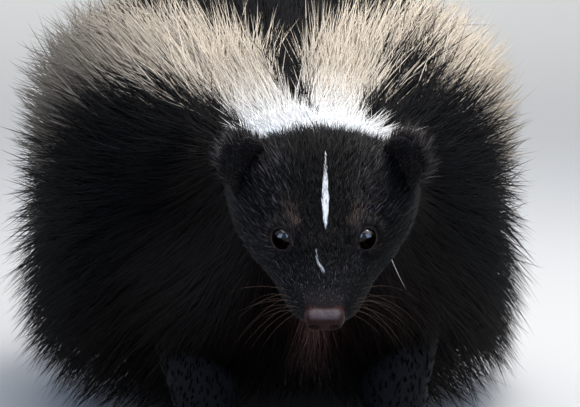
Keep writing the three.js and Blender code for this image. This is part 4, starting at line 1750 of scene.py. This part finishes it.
    def blaze(self) -> Tufts:
        """Grows the white blaze on the forehead and the thin curved wisp below it.

        The wisp's middle runs from the midline to one side as 1 - (1 - t)^3, and it thins out upwards.

        Returns:
            The tufts.
        """
        coat = self.head_coat(lambda p: 5.2 + 0 * p[:, 0], 0.3, 0.4)
        t, angle, here, normal = coat.roots(Patch((0.3, 0.93), (-9, 9), 9000, 57))
        rng = np.random.default_rng(58)
        x, y, _ = here.T
        up_it = np.clip((y + 20.0) / 9.5, 0, 1)
        middle = -0.1 - 2.75 * (1 - (1 - up_it) ** 3)
        wisp = (np.abs(x - middle) < 0.5 - 0.35 * up_it) & (y > -20.5) & (y < -12)
        wisp &= rng.uniform(size=len(here)) < 0.7 - 0.4 * up_it
        chosen = self.in_blaze(here) | wisp
        t, angle, here, normal = t[chosen], angle[chosen], here[chosen], normal[chosen]
        centre, out, width, twist = coat.grow(here, normal, 59, 0.05)
        low, up_it = wisp[chosen][:, None, None], up_it[chosen]
        ahead = (centre - centre[:, :1])[..., 1:2] * (1 - up_it)[:, None, None]
        curved = mix(centre[:, :1], centre, 0.5) + ahead * np.array([-0.3, 0.0, 0.0])
        lines = self.in_body((np.where(low, curved, centre) + 0.35 * out, out, width, twist))
        tint = shaded(Colours.WHITE * 0.9, Colours.WHITE, len(here), 60, 0.06)
        tint = np.where(low, tint * (0.55 - 0.35 * up_it)[:, None, None], tint)
        return blades(lines, tint, np.stack([(angle + np.pi) / (2 * np.pi), t], -1))

    def face(self) -> Tufts:
        """Grows the forehead, crown and cheeks, all but the blaze.

        Returns:
            The tufts.
        """
        coat = self.head_coat(self.face_lengths, 0.34, 0.28)
        tufts, here = self.on_head(coat, Patch((0.42, 0.99), (-130, 130), 36000, 51), 0.22)
        return tufts.kept(~self.in_blaze(here, 0.1))

    def face_lengths(self, here: Array) -> Array:
        """Gives the head hair's lengths: short by the eyes, longer on the crown and back cheeks."""
        back = ease(here[:, 1], -8, 25)
        return 3.4 + 4.2 * back + 4.0 * ease(np.abs(here[:, 0]), 18, 32) * ease(here[:, 1], -8, 15)

    def throat(self) -> Tufts:
        """Grows the longer hair under the cheeks and the jaw."""
        coat = self.head_coat(lambda p: 3.5 + 7.5 * ease(p[:, 1], -15, 30), 0.3, 0.6)
        return self.on_head(coat, Patch((0.45, 0.99), (125, 235), 5200, 61), ROUGH)[0]

    def up_the_ear(self, here: Array, normal: Array) -> Array:
        """Gives the way the ear's hair lies: up to its tip and away from its middle."""
        away = unit(here - np.array(self.ear.seat))
        return turned(np.array([[0.0, 0.15, 1.0]]), self.ear.turn) + 0.35 * away

    def ears(self) -> Tufts:
        """Grows the ears' hair: short on the back and the rim, longer and standing up in the cup.

        Returns:
            The tufts.
        """
        back = ShortCoat(self.ear.surface, lambda p: 3.6 + 0 * p[:, 0], self.up_the_ear, 0.4, 0.36)
        cup = ShortCoat(self.ear.surface, lambda p: 8.2 + 0 * p[:, 0], self.up_the_ear, 1.1, 0.42)
        sets = []
        for side, seed in ((1, 71), (-1, 74)):
            mirror = np.array([side, 1, 1])
            for coat, low, high, count in ((back, -120, 120, 1900), (cup, 105, 255, 2100)):
                t, angle, here, normal = coat.roots(Patch((0.04, 0.995), (low, high), count, seed))
                centre, out, width, twist = coat.grow(here, normal, seed + 1, 0.24)
                # A share of hairs painted silver: partly lighter hairs, partly painted sheen.
                glint = np.random.default_rng(seed + 3).uniform(size=(count, 1)) < 0.3
                base = np.where(glint, Colours.SILVER_GLINT * 0.75, mix(Colours.HEAD, Colours.BROWN_BLACK, 0.5))
                tint = shaded(base, base * 1.6, count, seed + 2, 0.4)
                lines = self.in_body((centre * mirror, out * mirror, width, twist))
                turn = (angle + np.pi) / (2 * np.pi) % 1
                root = np.stack([turn / 2 + (0.5 if side < 0 else 0.0), t], -1)
                sets.append(blades(lines, tint, root))
        return Tufts.joined(sets)

    def legs(self) -> Tufts:
        """Grows the legs' hair down to the toes, shorter towards them.

        Returns:
            The tufts.
        """
        sets = []
        tiles = [(limb, side) for limb in self.limbs for side in SIDES]
        for number, (limb, side) in enumerate(tiles):

            def down(here: Array, normal: Array) -> Array:
                """Points down the leg, turning ahead over the paw."""
                ahead = ease(-here[:, 2], -22, -8)[:, None]
                return mix(np.array([0.0, 0.1, -1.0]), np.array([0.0, -1.0, -0.15]), ahead)

            leg = ShortCoat(limb.surface, lambda p: 5 + 11 * ease(p[:, 2], 15, 60), down, 0.24, 0.9, 0.8)
            t, angle, here, normal = leg.roots(Patch((0.02, 0.98), (-180, 180), 1200, 81 + number))
            grown = [(leg.grow(here, normal, 91 + number), (angle + np.pi) / 2 / np.pi, t)]
            for k, (seat, sizes) in enumerate(limb.balls()):

                def place(t: Array, angle: Array, seat: Array = seat, sizes: Array = sizes) -> Array:
                    """Gives points of one of the paw's balls."""
                    return seat + unit_ball(t, angle) * sizes

                paw = ShortCoat(place, lambda p: 3.0 + 0.12 * p[:, 2], down, 0.22, 0.6, 0.4)
                count = self.toe_tufts if k else self.pad_tufts
                patch = Patch((0.06, 0.94), (-100, 100), count, 101 + 10 * number + k)
                t, angle, here, normal = paw.roots(patch)
                lines = paw.grow(here, normal, 161 + 10 * number + k)
                grown.append((lines, 0.1 + 0.1 * k + 0 * t, t))
            for (centre, out, width, twist), u, v in grown:
                centre = centre * (side, 1, 1) + (limb.shift, 0, 0)
                centre[..., 2] = np.maximum(centre[..., 2], 0.9)
                tint = shaded(Colours.BLACK * 0.9, Colours.BLACK * 1.3, len(width), 200 + number, 0.25)
                root = np.stack([(u + number) / 4, v], -1)
                sets.append(blades((centre, out * (side, 1, 1), width, twist), tint, root))
        return Tufts.joined(sets)


# Skin, eyes, nose, whiskers and claws


@dataclass
class Skin:
    """One skin under the whole coat, joined from the body's closed forms."""

    trunk: Trunk
    head: Head
    ear: Ear
    limbs: tuple[Limb, ...]
    coat: Coat

    def shells(self) -> list[Shell]:
        """Builds the closed forms that the skin is joined from, in the animal's frame.

        Returns:
            The shells.
        """
        ear = self.ear.shell()
        shells = [self.head.shell()]
        for points, quads, triangles in (ear, mirrored(ear)):
            shells.append((self.head.to_body(points), quads, triangles))
        for limb in self.limbs:
            for shell in limb.shells():
                for points, quads, triangles in (shell, mirrored(shell)):
                    shells.append((points + (limb.shift, 0, 0), quads, triangles))
        return shells

    def tint(self, points: Array) -> Array:
        """Gives the skin's colour at points: the coat's markings, a little darker.

        Args:
            points: places on the skin.

        Returns:
            One colour per point.
        """
        s, angle = self.trunk.find(points)
        white = self.trunk.whiteness(s, angle, 2.0, 4)[:, None]
        colour = mix(Colours.BLACK * 0.7, Colours.TAN * 0.8, ease(white, -2, 3))
        local = (points - (self.head.shift, 0, self.head.height)) @ self.head.axes
        on_head = (local[:, 1] < 36) & (np.abs(local[:, 0]) < 45) & (points[:, 1] < 62) & (points[:, 2] > 70)
        colour = np.where(on_head[:, None], self.plain_head(local), colour)
        sole = (points[:, 2] < 1.2)[:, None]
        return np.where(sole, Colours.SOLE, colour)

    def plain_head(self, local: Array) -> Array:
        """Gives the head's skin colour: dark, browner by the nose and the lids, white in the blaze.

        Args:
            local: places in the head's frame.

        Returns:
            One colour per place.
        """
        _, y, z = local.T
        brown = self.coat.brownness(local) * (1 - 0.65 * ease(-y, 24, 30))
        colour = mix(Colours.HEAD * 0.8, Colours.BARE_BROWN, brown[:, None])
        mouth = bell((self.head.mouth_height(y) - z) / 0.9) * (y < self.head.mouth[3])
        # Darker along the mouth's line, and painted shade at the back edge of the head's skin, where it meets
        # the neck.
        colour = colour * (1 - 0.6 * mouth[:, None]) * (1 - 0.85 * ease(y, 30, 33)[:, None])
        return np.where(self.coat.in_blaze(local)[:, None], Colours.WHITE * 0.6, colour)

    def build(self, shift: Array) -> None:
        """Joins the forms into one closed skin, smooths its creases and stores its tint.

        Args:
            shift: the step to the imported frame.
        """
        made = new_object("skin", self.trunk.shell(), shift)
        cutters = bpy.data.collections.new("skin_forms")
        bpy.context.scene.collection.children.link(cutters)
        parts = [new_object(f"skin_form_{i}", shell, shift) for i, shell in enumerate(self.shells())]
        for part in parts:
            bpy.context.scene.collection.objects.unlink(part)
            cutters.objects.link(part)
        join = made.modifiers.new("join", "BOOLEAN")
        join.operation, join.solver = "UNION", "MANIFOLD"
        join.operand_type, join.collection = "COLLECTION", cutters
        smooth = made.modifiers.new("soften", "SMOOTH")
        smooth.factor, smooth.iterations = 0.4, 2
        apply_modifiers(made)
        for part in parts:
            bpy.data.objects.remove(part)
        bpy.data.collections.remove(cutters)
        made.data.shade_smooth()
        dress(made, self.tint(points_of(made) - shift), SkinFinish().make())
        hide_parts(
            "head", "lower_jaw", "blaze", "ear_left", "ear_right", "nape_cap", "stripe_left",
            "stripe_right", "neck", "torso", "tail_base", "tail_plume", "foreleg_left",
            "foreleg_right", "hindleg_left", "hindleg_right",
        )


@dataclass(frozen=True)
class Eye:
    """An eyeball with a slightly raised cornea, and the lids round it."""

    head: Head
    cornea: float = 0.3
    iris: float = 3.9
    pupil: float = 2.3
    lid_thick: float = 0.3
    corner: float = 3.52
    corner_reach: float = 0.9
    tints: tuple[Triple, ...] = (
        (0.0006, 0.0005, 0.0005),
        (0.006, 0.0022, 0.0012),
        (0.002, 0.001, 0.0008),
        (0.003, 0.002, 0.002),
    )

    def turned_out(self, points: Array, side: int) -> Array:
        """Turns points whose z runs along the eye's axis to face out of the head on one side.

        Args:
            points: places in the eye's frame.
            side: 1 for the left, -1 for the right.

        Returns:
            The places in the animal's frame.
        """
        z = unit(np.array(self.head.facing))
        x = unit(np.cross(np.array([0.0, 0.0, 1.0]), z))
        y = np.cross(z, x)
        placed = points @ np.array([x, y, z]) + np.array(self.head.eye)
        return self.head.to_body(placed * (side, 1, 1))

    def ball(self, t: Array, angle: Array) -> Array:
        """Gives points of the eyeball: a sphere, raised over the iris by cornea times a bell.

        Args:
            t: 0 at the front, 1 at the back.
            angle: radians round the eye's axis.

        Returns:
            The points.
        """
        polar = np.pi * (0.003 + 0.994 * t)
        radius = self.head.eye_radius + 0.15
        out = radius * np.sin(polar)
        raised = self.cornea * bell(out / 2.9) * (np.cos(polar) > 0)
        ahead = (radius + raised) * np.cos(polar)
        return np.stack([out * np.cos(angle), out * np.sin(angle), ahead], -1)

    def lid(self, t: Array, angle: Array) -> Array:
        """Gives points of the lids' rim, a soft ring drawn out to a point at the inner corner.

        Args:
            t: 0 to 1 round the opening.
            angle: radians round the rim's own section.

        Returns:
            The points.
        """
        turn = 2 * np.pi * t
        from_corner = (turn - self.corner + np.pi) % (2 * np.pi) - np.pi
        inner = bell(from_corner / 0.3)
        radius = self.head.lid_ring * (1 + 0.03 * np.cos(2 * turn)) + self.corner_reach * inner
        thick = self.lid_thick * (1 + 0.12 * np.sin(turn))
        out = radius + (thick + (self.corner_reach + 0.3) * inner) * np.cos(angle)
        ahead = self.head.lid_seat + 0.1 - 0.7 * inner + thick * 0.8 * np.sin(angle)
        return np.stack([out * np.cos(turn), out * np.sin(turn), ahead], -1)

    def build(self, word: str, side: int, shift: Array) -> None:
        """Makes the eyeball and the lids of one side.

        Args:
            word: left or right.
            side: 1 for the left, -1 for the right.
            shift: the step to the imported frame.
        """
        points, quads, triangles = loft(self.ball, 60, 48)
        radius = np.linalg.norm(points[:, :2], axis=1)
        front = points[:, 2] > 0
        inner, middle, outer, white = (np.array(colour) for colour in self.tints)
        brown = mix(middle, outer, ease(radius, self.pupil, self.iris)[:, None])
        tint = mix(inner, brown, ease(radius, self.pupil - 0.3, self.pupil + 0.3)[:, None])
        tint = mix(tint, white, ease(radius, self.iris - 0.2, self.iris + 0.2)[:, None])
        tint = np.where(front[:, None], tint, white)
        shell = outward(self.turned_out(points, side), quads, triangles)
        eyeball = new_object(f"eyeball_{word}", shell, shift)
        dress(eyeball, tint, EyeFinish().make())
        set_colour(eyeball.data, "wet", ease(points[:, 1], 0.9, 1.9)[:, None] * np.ones(3))
        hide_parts(f"eye_{word}")
        points, quads, triangles = self.lid_ring_shell()
        shell = outward(self.turned_out(points, side), quads, triangles)
        lids = new_object(f"lids_{word}", shell, shift)
        x, y, _ = points.T
        pink = np.maximum(0.5 * ease(0.5 * x - y, 1.0, 4.5), bell((x + 5.4) / 1.4, (y + 2.1) / 1.4))
        finish = LeatherFinish("lid_skin", 0.5, 0.15, 0.02).make()
        dress(lids, mix(Colours.BLACK, Colours.LID * 0.6, pink[:, None]), finish)

    def lid_ring_shell(self) -> Shell:
        """Builds the lids' rim as a closed ring.

        Returns:
            The shell.
        """
        rings, around = 72, 14
        t = np.linspace(0, 1, rings, endpoint=False)[:, None]
        angle = np.linspace(0, 2 * np.pi, around, endpoint=False)[None, :]
        points = self.lid(t + 0 * angle, angle + 0 * t).reshape(-1, 3)
        i, j = np.meshgrid(np.arange(rings), np.arange(around), indexing="ij")
        i, next_i = i * around, (i + 1) % rings * around
        next_j = (j + 1) % around
        quads = np.stack([i + j, i + next_j, next_i + next_j, next_i + j], -1)
        return points, quads.reshape(-1, 4), np.empty((0, 3), int)


@dataclass(frozen=True)
class Nose:
    """The nose's bare pad: a rounded block with a flat top, a groove down its front and two nostrils."""

    head: Head
    seat: Triple = (0.0, -33.0, -5.6)
    half: Triple = (7.9, 5.3, 4.9)
    soft: float = 0.55
    nostril: Triple = (3.5, -39.0, -6.9)
    slit: Triple = (7.4, -34.5, -8.2)
    # The top's colour, partly painted sheen.
    top_tint_and_sheen: Triple = (0.115, 0.080, 0.080)
    low_tint: Triple = (0.027, 0.0085, 0.0065)

    def surface(self, t: Array, angle: Array) -> Array:
        """Gives points of the pad.

        They are those of a ball with each coordinate c made sign(c) |c|^soft, times the half sizes,
        then pressed in round the nostrils and along the groove, and flattened on the top.

        Args:
            t: 0 at one side, 1 at the other.
            angle: radians round the line across the pad.

        Returns:
            The points, in the head's frame.
        """
        polar = np.pi * (0.004 + 0.992 * t)
        ball = np.stack([np.cos(polar), np.sin(polar) * np.cos(angle), np.sin(polar) * np.sin(angle)], -1)
        block = np.sign(ball) * np.abs(ball) ** self.soft * np.array(self.half) + np.array(self.seat)
        inward = unit(np.array(self.seat) + (0, 2.0, 0) - block)
        x, z = block[..., 0], block[..., 2]
        groove = 0.45 * bell(x / 0.45) * ease(-z, 1.5, 4.0)
        wings = 0.21 * bell((np.abs(x) - 5.2) / 0.55) * ease(z, -7, -3)
        dish = 0.5 * bell(x / 4.0) * ease(z, -3.5, -1.2)
        pressed = block + inward * (1.4 * self.hollow(block) + groove + wings)[..., None]
        return pressed - dish[..., None] * (0, 0, 1)

    def hollow(self, points: Array) -> Array:
        """Says how far points lie in a nostril, from 0 to 1: a round mouth with a slit curling out.

        Args:
            points: places in the head's frame.

        Returns:
            Shares from 0 to 1.
        """
        near = np.zeros(points.shape[:-1])
        a, b = np.array(self.nostril), np.array(self.slit)
        for side in SIDES:
            start, end = a * (side, 1, 1), b * (side, 1, 1)
            share = np.clip(((points - start) @ (end - start)) / ((end - start) @ (end - start)), 0, 1)
            distance = np.linalg.norm(points - start - share[..., None] * (end - start), axis=-1)
            radius = 1.75 - 0.85 * share
            near = np.maximum(near, np.exp(-((distance / radius) ** 4)))
        return near

    def build(self, shift: Array) -> None:
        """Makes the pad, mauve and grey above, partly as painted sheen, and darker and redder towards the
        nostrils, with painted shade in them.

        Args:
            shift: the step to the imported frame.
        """
        points, quads, triangles = loft(self.surface, 110, 120)
        x, y, z = points.T
        # The top's mauve and grey is partly painted sheen; it is darker in a band along each side of the top.
        on_top = ease(-y, 33.0, 34.6) * (1 - ease(-y, 37.2, 38.6)) * (1 - ease(-z, 1.4, 3.8))
        rim = bell(np.abs(x) - 6.6)
        tint = mix(np.array(self.low_tint), np.array(self.top_tint_and_sheen), (on_top * (1 - 0.8 * rim))[:, None])
        # Painted shade in the nostrils.
        tint = tint * (1 - 0.85 * self.hollow(points)[:, None])
        made = new_object("nose_pad", outward(self.head.to_body(points), quads, triangles), shift)
        dress(made, tint, LeatherFinish().make())
        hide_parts("nose")


@dataclass(frozen=True)
class Whiskers:
    """Long thin hairs in rows on each side of the muzzle, two over each eye, and one stray pale hair."""

    head: Head
    rows: int = 3
    per_row: int = 4
    long: float = 25.0
    thick: float = 0.13
    places: int = 12
    stray_root: Triple = (27.0, -6.1, -4.8)
    tint: Triple = (0.13, 0.085, 0.06)

    def line(self, root: Array, way: Array, length: float, bend: Array) -> Array:
        """Gives a middle line that leaves root along way and bends by the square of t."""
        t = np.linspace(0, 1, self.places)[:, None]
        return root + way * length * t + bend * length * t**2

    def muzzle_lines(self, side: int) -> list[Array]:
        """Gives one side's lines: the upper rows run out level, the lower ones lean down.

        Args:
            side: 1 for the left, -1 for the right.

        Returns:
            The lines, in the head's frame.
        """
        rng = np.random.default_rng(301 + side)
        lines = []
        for row in range(self.rows):
            for k in range(self.per_row):
                t = 0.17 + 0.042 * k + rng.uniform(-0.01, 0.01)
                angle = math.radians(64 + 12 * row + rng.uniform(-3, 3)) * side
                root = self.head.surface(np.array([t]), np.array([angle]))[0]
                low = row / (self.rows - 1)
                way = np.array([side, 0.28 - 0.55 * low + rng.uniform(-0.12, 0.12), 0.18 - 0.45 * low])
                bend = np.array([-0.12 * side, -0.3, -0.3]) * rng.uniform(0.7, 1.3)
                length = self.long * (0.7 + 0.16 * k) * rng.uniform(0.8, 1.15)
                lines.append(self.line(root, unit(way), length, bend))
        return lines

    def build(self, finish: Finish, shift: Array) -> None:
        """Makes all the whiskers as one piece.

        Args:
            finish: the whiskers' material.
            shift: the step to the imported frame.
        """
        lines = []
        for side in SIDES:
            lines += self.muzzle_lines(side)
            for k in range(2):
                root = np.array([side * (11 + 2.4 * k), 3.5, 12.4])
                way = unit(np.array([side * (0.3 + 0.3 * k), 0.1, 0.8]))
                lines.append(self.line(root, way, 9.0, np.array([side * 0.2, 0.35, -0.1])))
        way = unit(np.array([0.34, -0.72, -0.5]))
        lines.append(self.line(np.array(self.stray_root), way, 13.0, np.array([0.08, 0.0, 0.0])))
        n, k = len(lines), self.places
        centre = self.head.to_body(np.array(lines))
        width = np.append(np.full(n - 1, self.thick), 2.6 * self.thick)
        tint = np.vstack([np.tile(self.tint, (n - 1, 1)), (0.6, 0.56, 0.5)])
        out = np.broadcast_to(self.head.axes @ np.array([0.0, -0.3, 1.0]), centre.shape)
        half = width[:, None] / 2 * (1 - np.linspace(0, 1, k) ** 1.5)[None, :]
        side, face = lay_tufts(centre, out, np.zeros(n))
        root = np.stack([np.linspace(0.05, 0.95, n), np.full(n, 0.5)], -1)
        colours = np.broadcast_to(tint[:, None, :], (n, k, 3))
        hairs = Tufts(centre, side, face, half, half * 0.9, colours, root)
        CoatPiece("whiskers", Slot.DARK, hairs).build(finish, shift)


@dataclass(frozen=True)
class Claws:
    """The claws of all four feet."""

    limbs: tuple[Limb, ...]
    finish: ClawFinish = ClawFinish()

    def build(self, shift: Array) -> None:
        """Makes the claws as one piece, browner at their roots.

        Args:
            shift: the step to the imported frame.
        """
        shells, tints, names = [], [], []
        for limb in self.limbs:
            for k in TOES:
                shell = limb.claw_shell(k)
                along = (shell[0][:, 1].max() - shell[0][:, 1]) / np.ptp(shell[0][:, 1])
                share = ease(along, 0.1, 0.8)[:, None]
                tint = mix(np.array(self.finish.root), np.array(self.finish.tip), share)
                for word, (points, quads, triangles) in (("left", shell), ("right", mirrored(shell))):
                    shells.append((points + (limb.shift, 0, 0), quads, triangles))
                    tints.append(tint)
                    names.append(f"claw_{limb.name}_{word}_{k + 3}")
        made = new_object("claws", together(shells), shift)
        dress(made, np.vstack(tints), self.finish.make())
        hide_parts(*names)


# Studio


@dataclass(frozen=True)
class Softbox:
    """An area light: its place and aim in metres, its width and height, power, colour and spread."""

    name: str
    place: Triple
    aim: Triple
    size: Pair
    power: float
    colour: Triple
    spread: float = 180.0

    def build(self) -> None:
        """Adds the light, turned to its aim."""
        light = bpy.data.lights.new(self.name, "AREA")
        light.shape = "RECTANGLE"
        light.size, light.size_y = self.size
        light.energy, light.color = self.power, self.colour
        light.spread = math.radians(self.spread)
        made = bpy.data.objects.new(self.name, light)
        made.location = self.place
        made.rotation_euler = (Vector(self.aim) - Vector(self.place)).to_track_quat("-Z", "Y").to_euler()
        bpy.context.scene.collection.objects.link(made)


SKY = (0.42, 0.62, 1.0)
GLINT = (0.9, 0.95, 1.0)


@dataclass(frozen=True)
class Studio:
    """The pale floor, the lights and the camera."""

    azimuth: float = -4.0
    elevation: float = 9.0
    distance: float = 1.0
    focal_pixels: float = 2530.0
    eyes_pixel: Pair = (324.0, 238.3)
    frame: tuple[int, int] = (580, 407)
    world: Triple = (0.80, 0.85, 0.95)
    world_power: float = 0.28
    lights: tuple[Softbox, ...] = (
        Softbox("key_box", (0.30, 0.02, 1.10), (0.06, 0.0, 0.1), (0.6, 0.6), 3.1, (1.0, 0.98, 0.95), 80.0),
        Softbox("top_box", (0.6, 0.5, 2.4), (0.1, 0.4, 0.0), (3.6, 3.6), 44.0, (1.0, 0.99, 0.97)),
        Softbox("left_box", (0.72, -0.98, 0.85), (0.0, 0.0, 0.12), (1.1, 0.8), 1.9, SKY, 80.0),
        Softbox("right_box", (-0.80, -0.92, 0.85), (0.0, 0.0, 0.12), (1.1, 0.8), 1.9, SKY, 80.0),
        Softbox("left_glint", (0.95, -0.62, 0.62), (0.0, 0.0, 0.12), (0.14, 0.14), 0.12, GLINT, 60.0),
        Softbox("right_glint", (-0.95, -0.62, 0.62), (0.0, 0.0, 0.12), (0.14, 0.14), 0.12, GLINT, 60.0),
        Softbox("floor_box", (0.0, 2.9, 1.8), (0.0, 2.7, 0.0), (2.8, 2.4), 52.0, (1.0, 1.0, 1.0)),
    )

    def axes(self) -> tuple[Array, Array, Array]:
        """Gives the camera's right, its up and the way back to it from the animal.

        Returns:
            The three directions.
        """
        az, el = math.radians(self.azimuth), math.radians(self.elevation)
        back = np.array([math.sin(az) * math.cos(el), -math.cos(az) * math.cos(el), math.sin(el)])
        right = np.array([math.cos(az), math.sin(az), 0.0])
        return right, np.cross(back, right), back

    def build(self, eyes: Array) -> None:
        """Adds the floor, the lights, the world's light and the camera.

        The camera stands at its distance from the middle of the eyes and is moved across and up so
        that this middle falls on the photo's pixel.

        Args:
            eyes: the middle of the two eyes, in metres.
        """
        right, up, back = self.axes()
        width, height = self.frame
        across = (self.eyes_pixel[0] - width / 2) / self.focal_pixels * self.distance
        rise = (height / 2 - self.eyes_pixel[1]) / self.focal_pixels * self.distance
        spot = eyes + back * self.distance - right * across - up * rise
        lens = bpy.data.cameras.new("camera")
        lens.sensor_width = 36.0
        lens.lens = self.focal_pixels / width * lens.sensor_width
        lens.clip_start, lens.clip_end = 0.02, 60.0
        camera = bpy.data.objects.new("camera", lens)
        turn = np.eye(4)
        turn[:3, 0], turn[:3, 1], turn[:3, 2], turn[:3, 3] = right, up, back, spot
        camera.matrix_world = Matrix(turn.tolist())
        bpy.context.scene.collection.objects.link(camera)
        bpy.context.scene.camera = camera
        world = bpy.data.worlds.new("studio_light")
        world.use_nodes = True
        shade = world.node_tree.nodes["Background"]
        shade.inputs["Color"].default_value = (*self.world, 1.0)
        shade.inputs["Strength"].default_value = self.world_power
        bpy.context.scene.world = world
        reach = 8000.0
        corners = reach * np.array([[-1.0, -1, 0], [1, -1, 0], [1, 1, 0], [-1, 1, 0]])
        floor = new_object("floor", (corners, np.array([[0, 1, 2, 3]]), np.empty((0, 3), int)))
        floor.data.materials.append(FloorFinish().make())
        for light in self.lights:
            light.build()
        bpy.context.scene.view_settings.view_transform = "Standard"


def main() -> None:
    """Builds the skin, the coat, the eyes, the nose, the whiskers, the claws and the studio."""
    logging.basicConfig(level=logging.INFO, format="%(message)s", stream=sys.stdout)
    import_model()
    trunk, head, ear, limbs = Trunk(), Head(), Ear(), (FORELEG, HINDLEG)
    boxes = [np.array(corner) for side in ("left", "right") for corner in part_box(f"eye_{side}")]
    eyes = np.mean(boxes, axis=0)
    own = head.to_body(np.array([[0.0, head.eye[1], head.eye[2]]]))[0]
    shift = eyes / MM - own
    coat = Coat(trunk, head, ear, limbs, LongCoat(trunk))
    Skin(trunk, head, ear, limbs, coat).build(shift)
    dark = CoatFinish("dark_hair", 0.42, 0.02).make()
    head_hair = CoatFinish("head_hair", 0.4, 0.14).make()
    white = CoatFinish("white_hair", 0.6, 0.25, 0.05, 0.08).make()
    on_head = ("coat_muzzle", "coat_face_left", "coat_face_right", "coat_ears")
    for piece in coat.pieces():
        finish = white if piece.slot is Slot.WHITE else head_hair if piece.name in on_head else dark
        piece.build(finish, shift)
    for word, side in (("left", 1), ("right", -1)):
        Eye(head).build(word, side, shift)
    Nose(head).build(shift)
    Whiskers(head).build(dark, shift)
    Claws(limbs).build(shift)
    Studio().build(eyes)


if __name__ == "__main__":
    main()
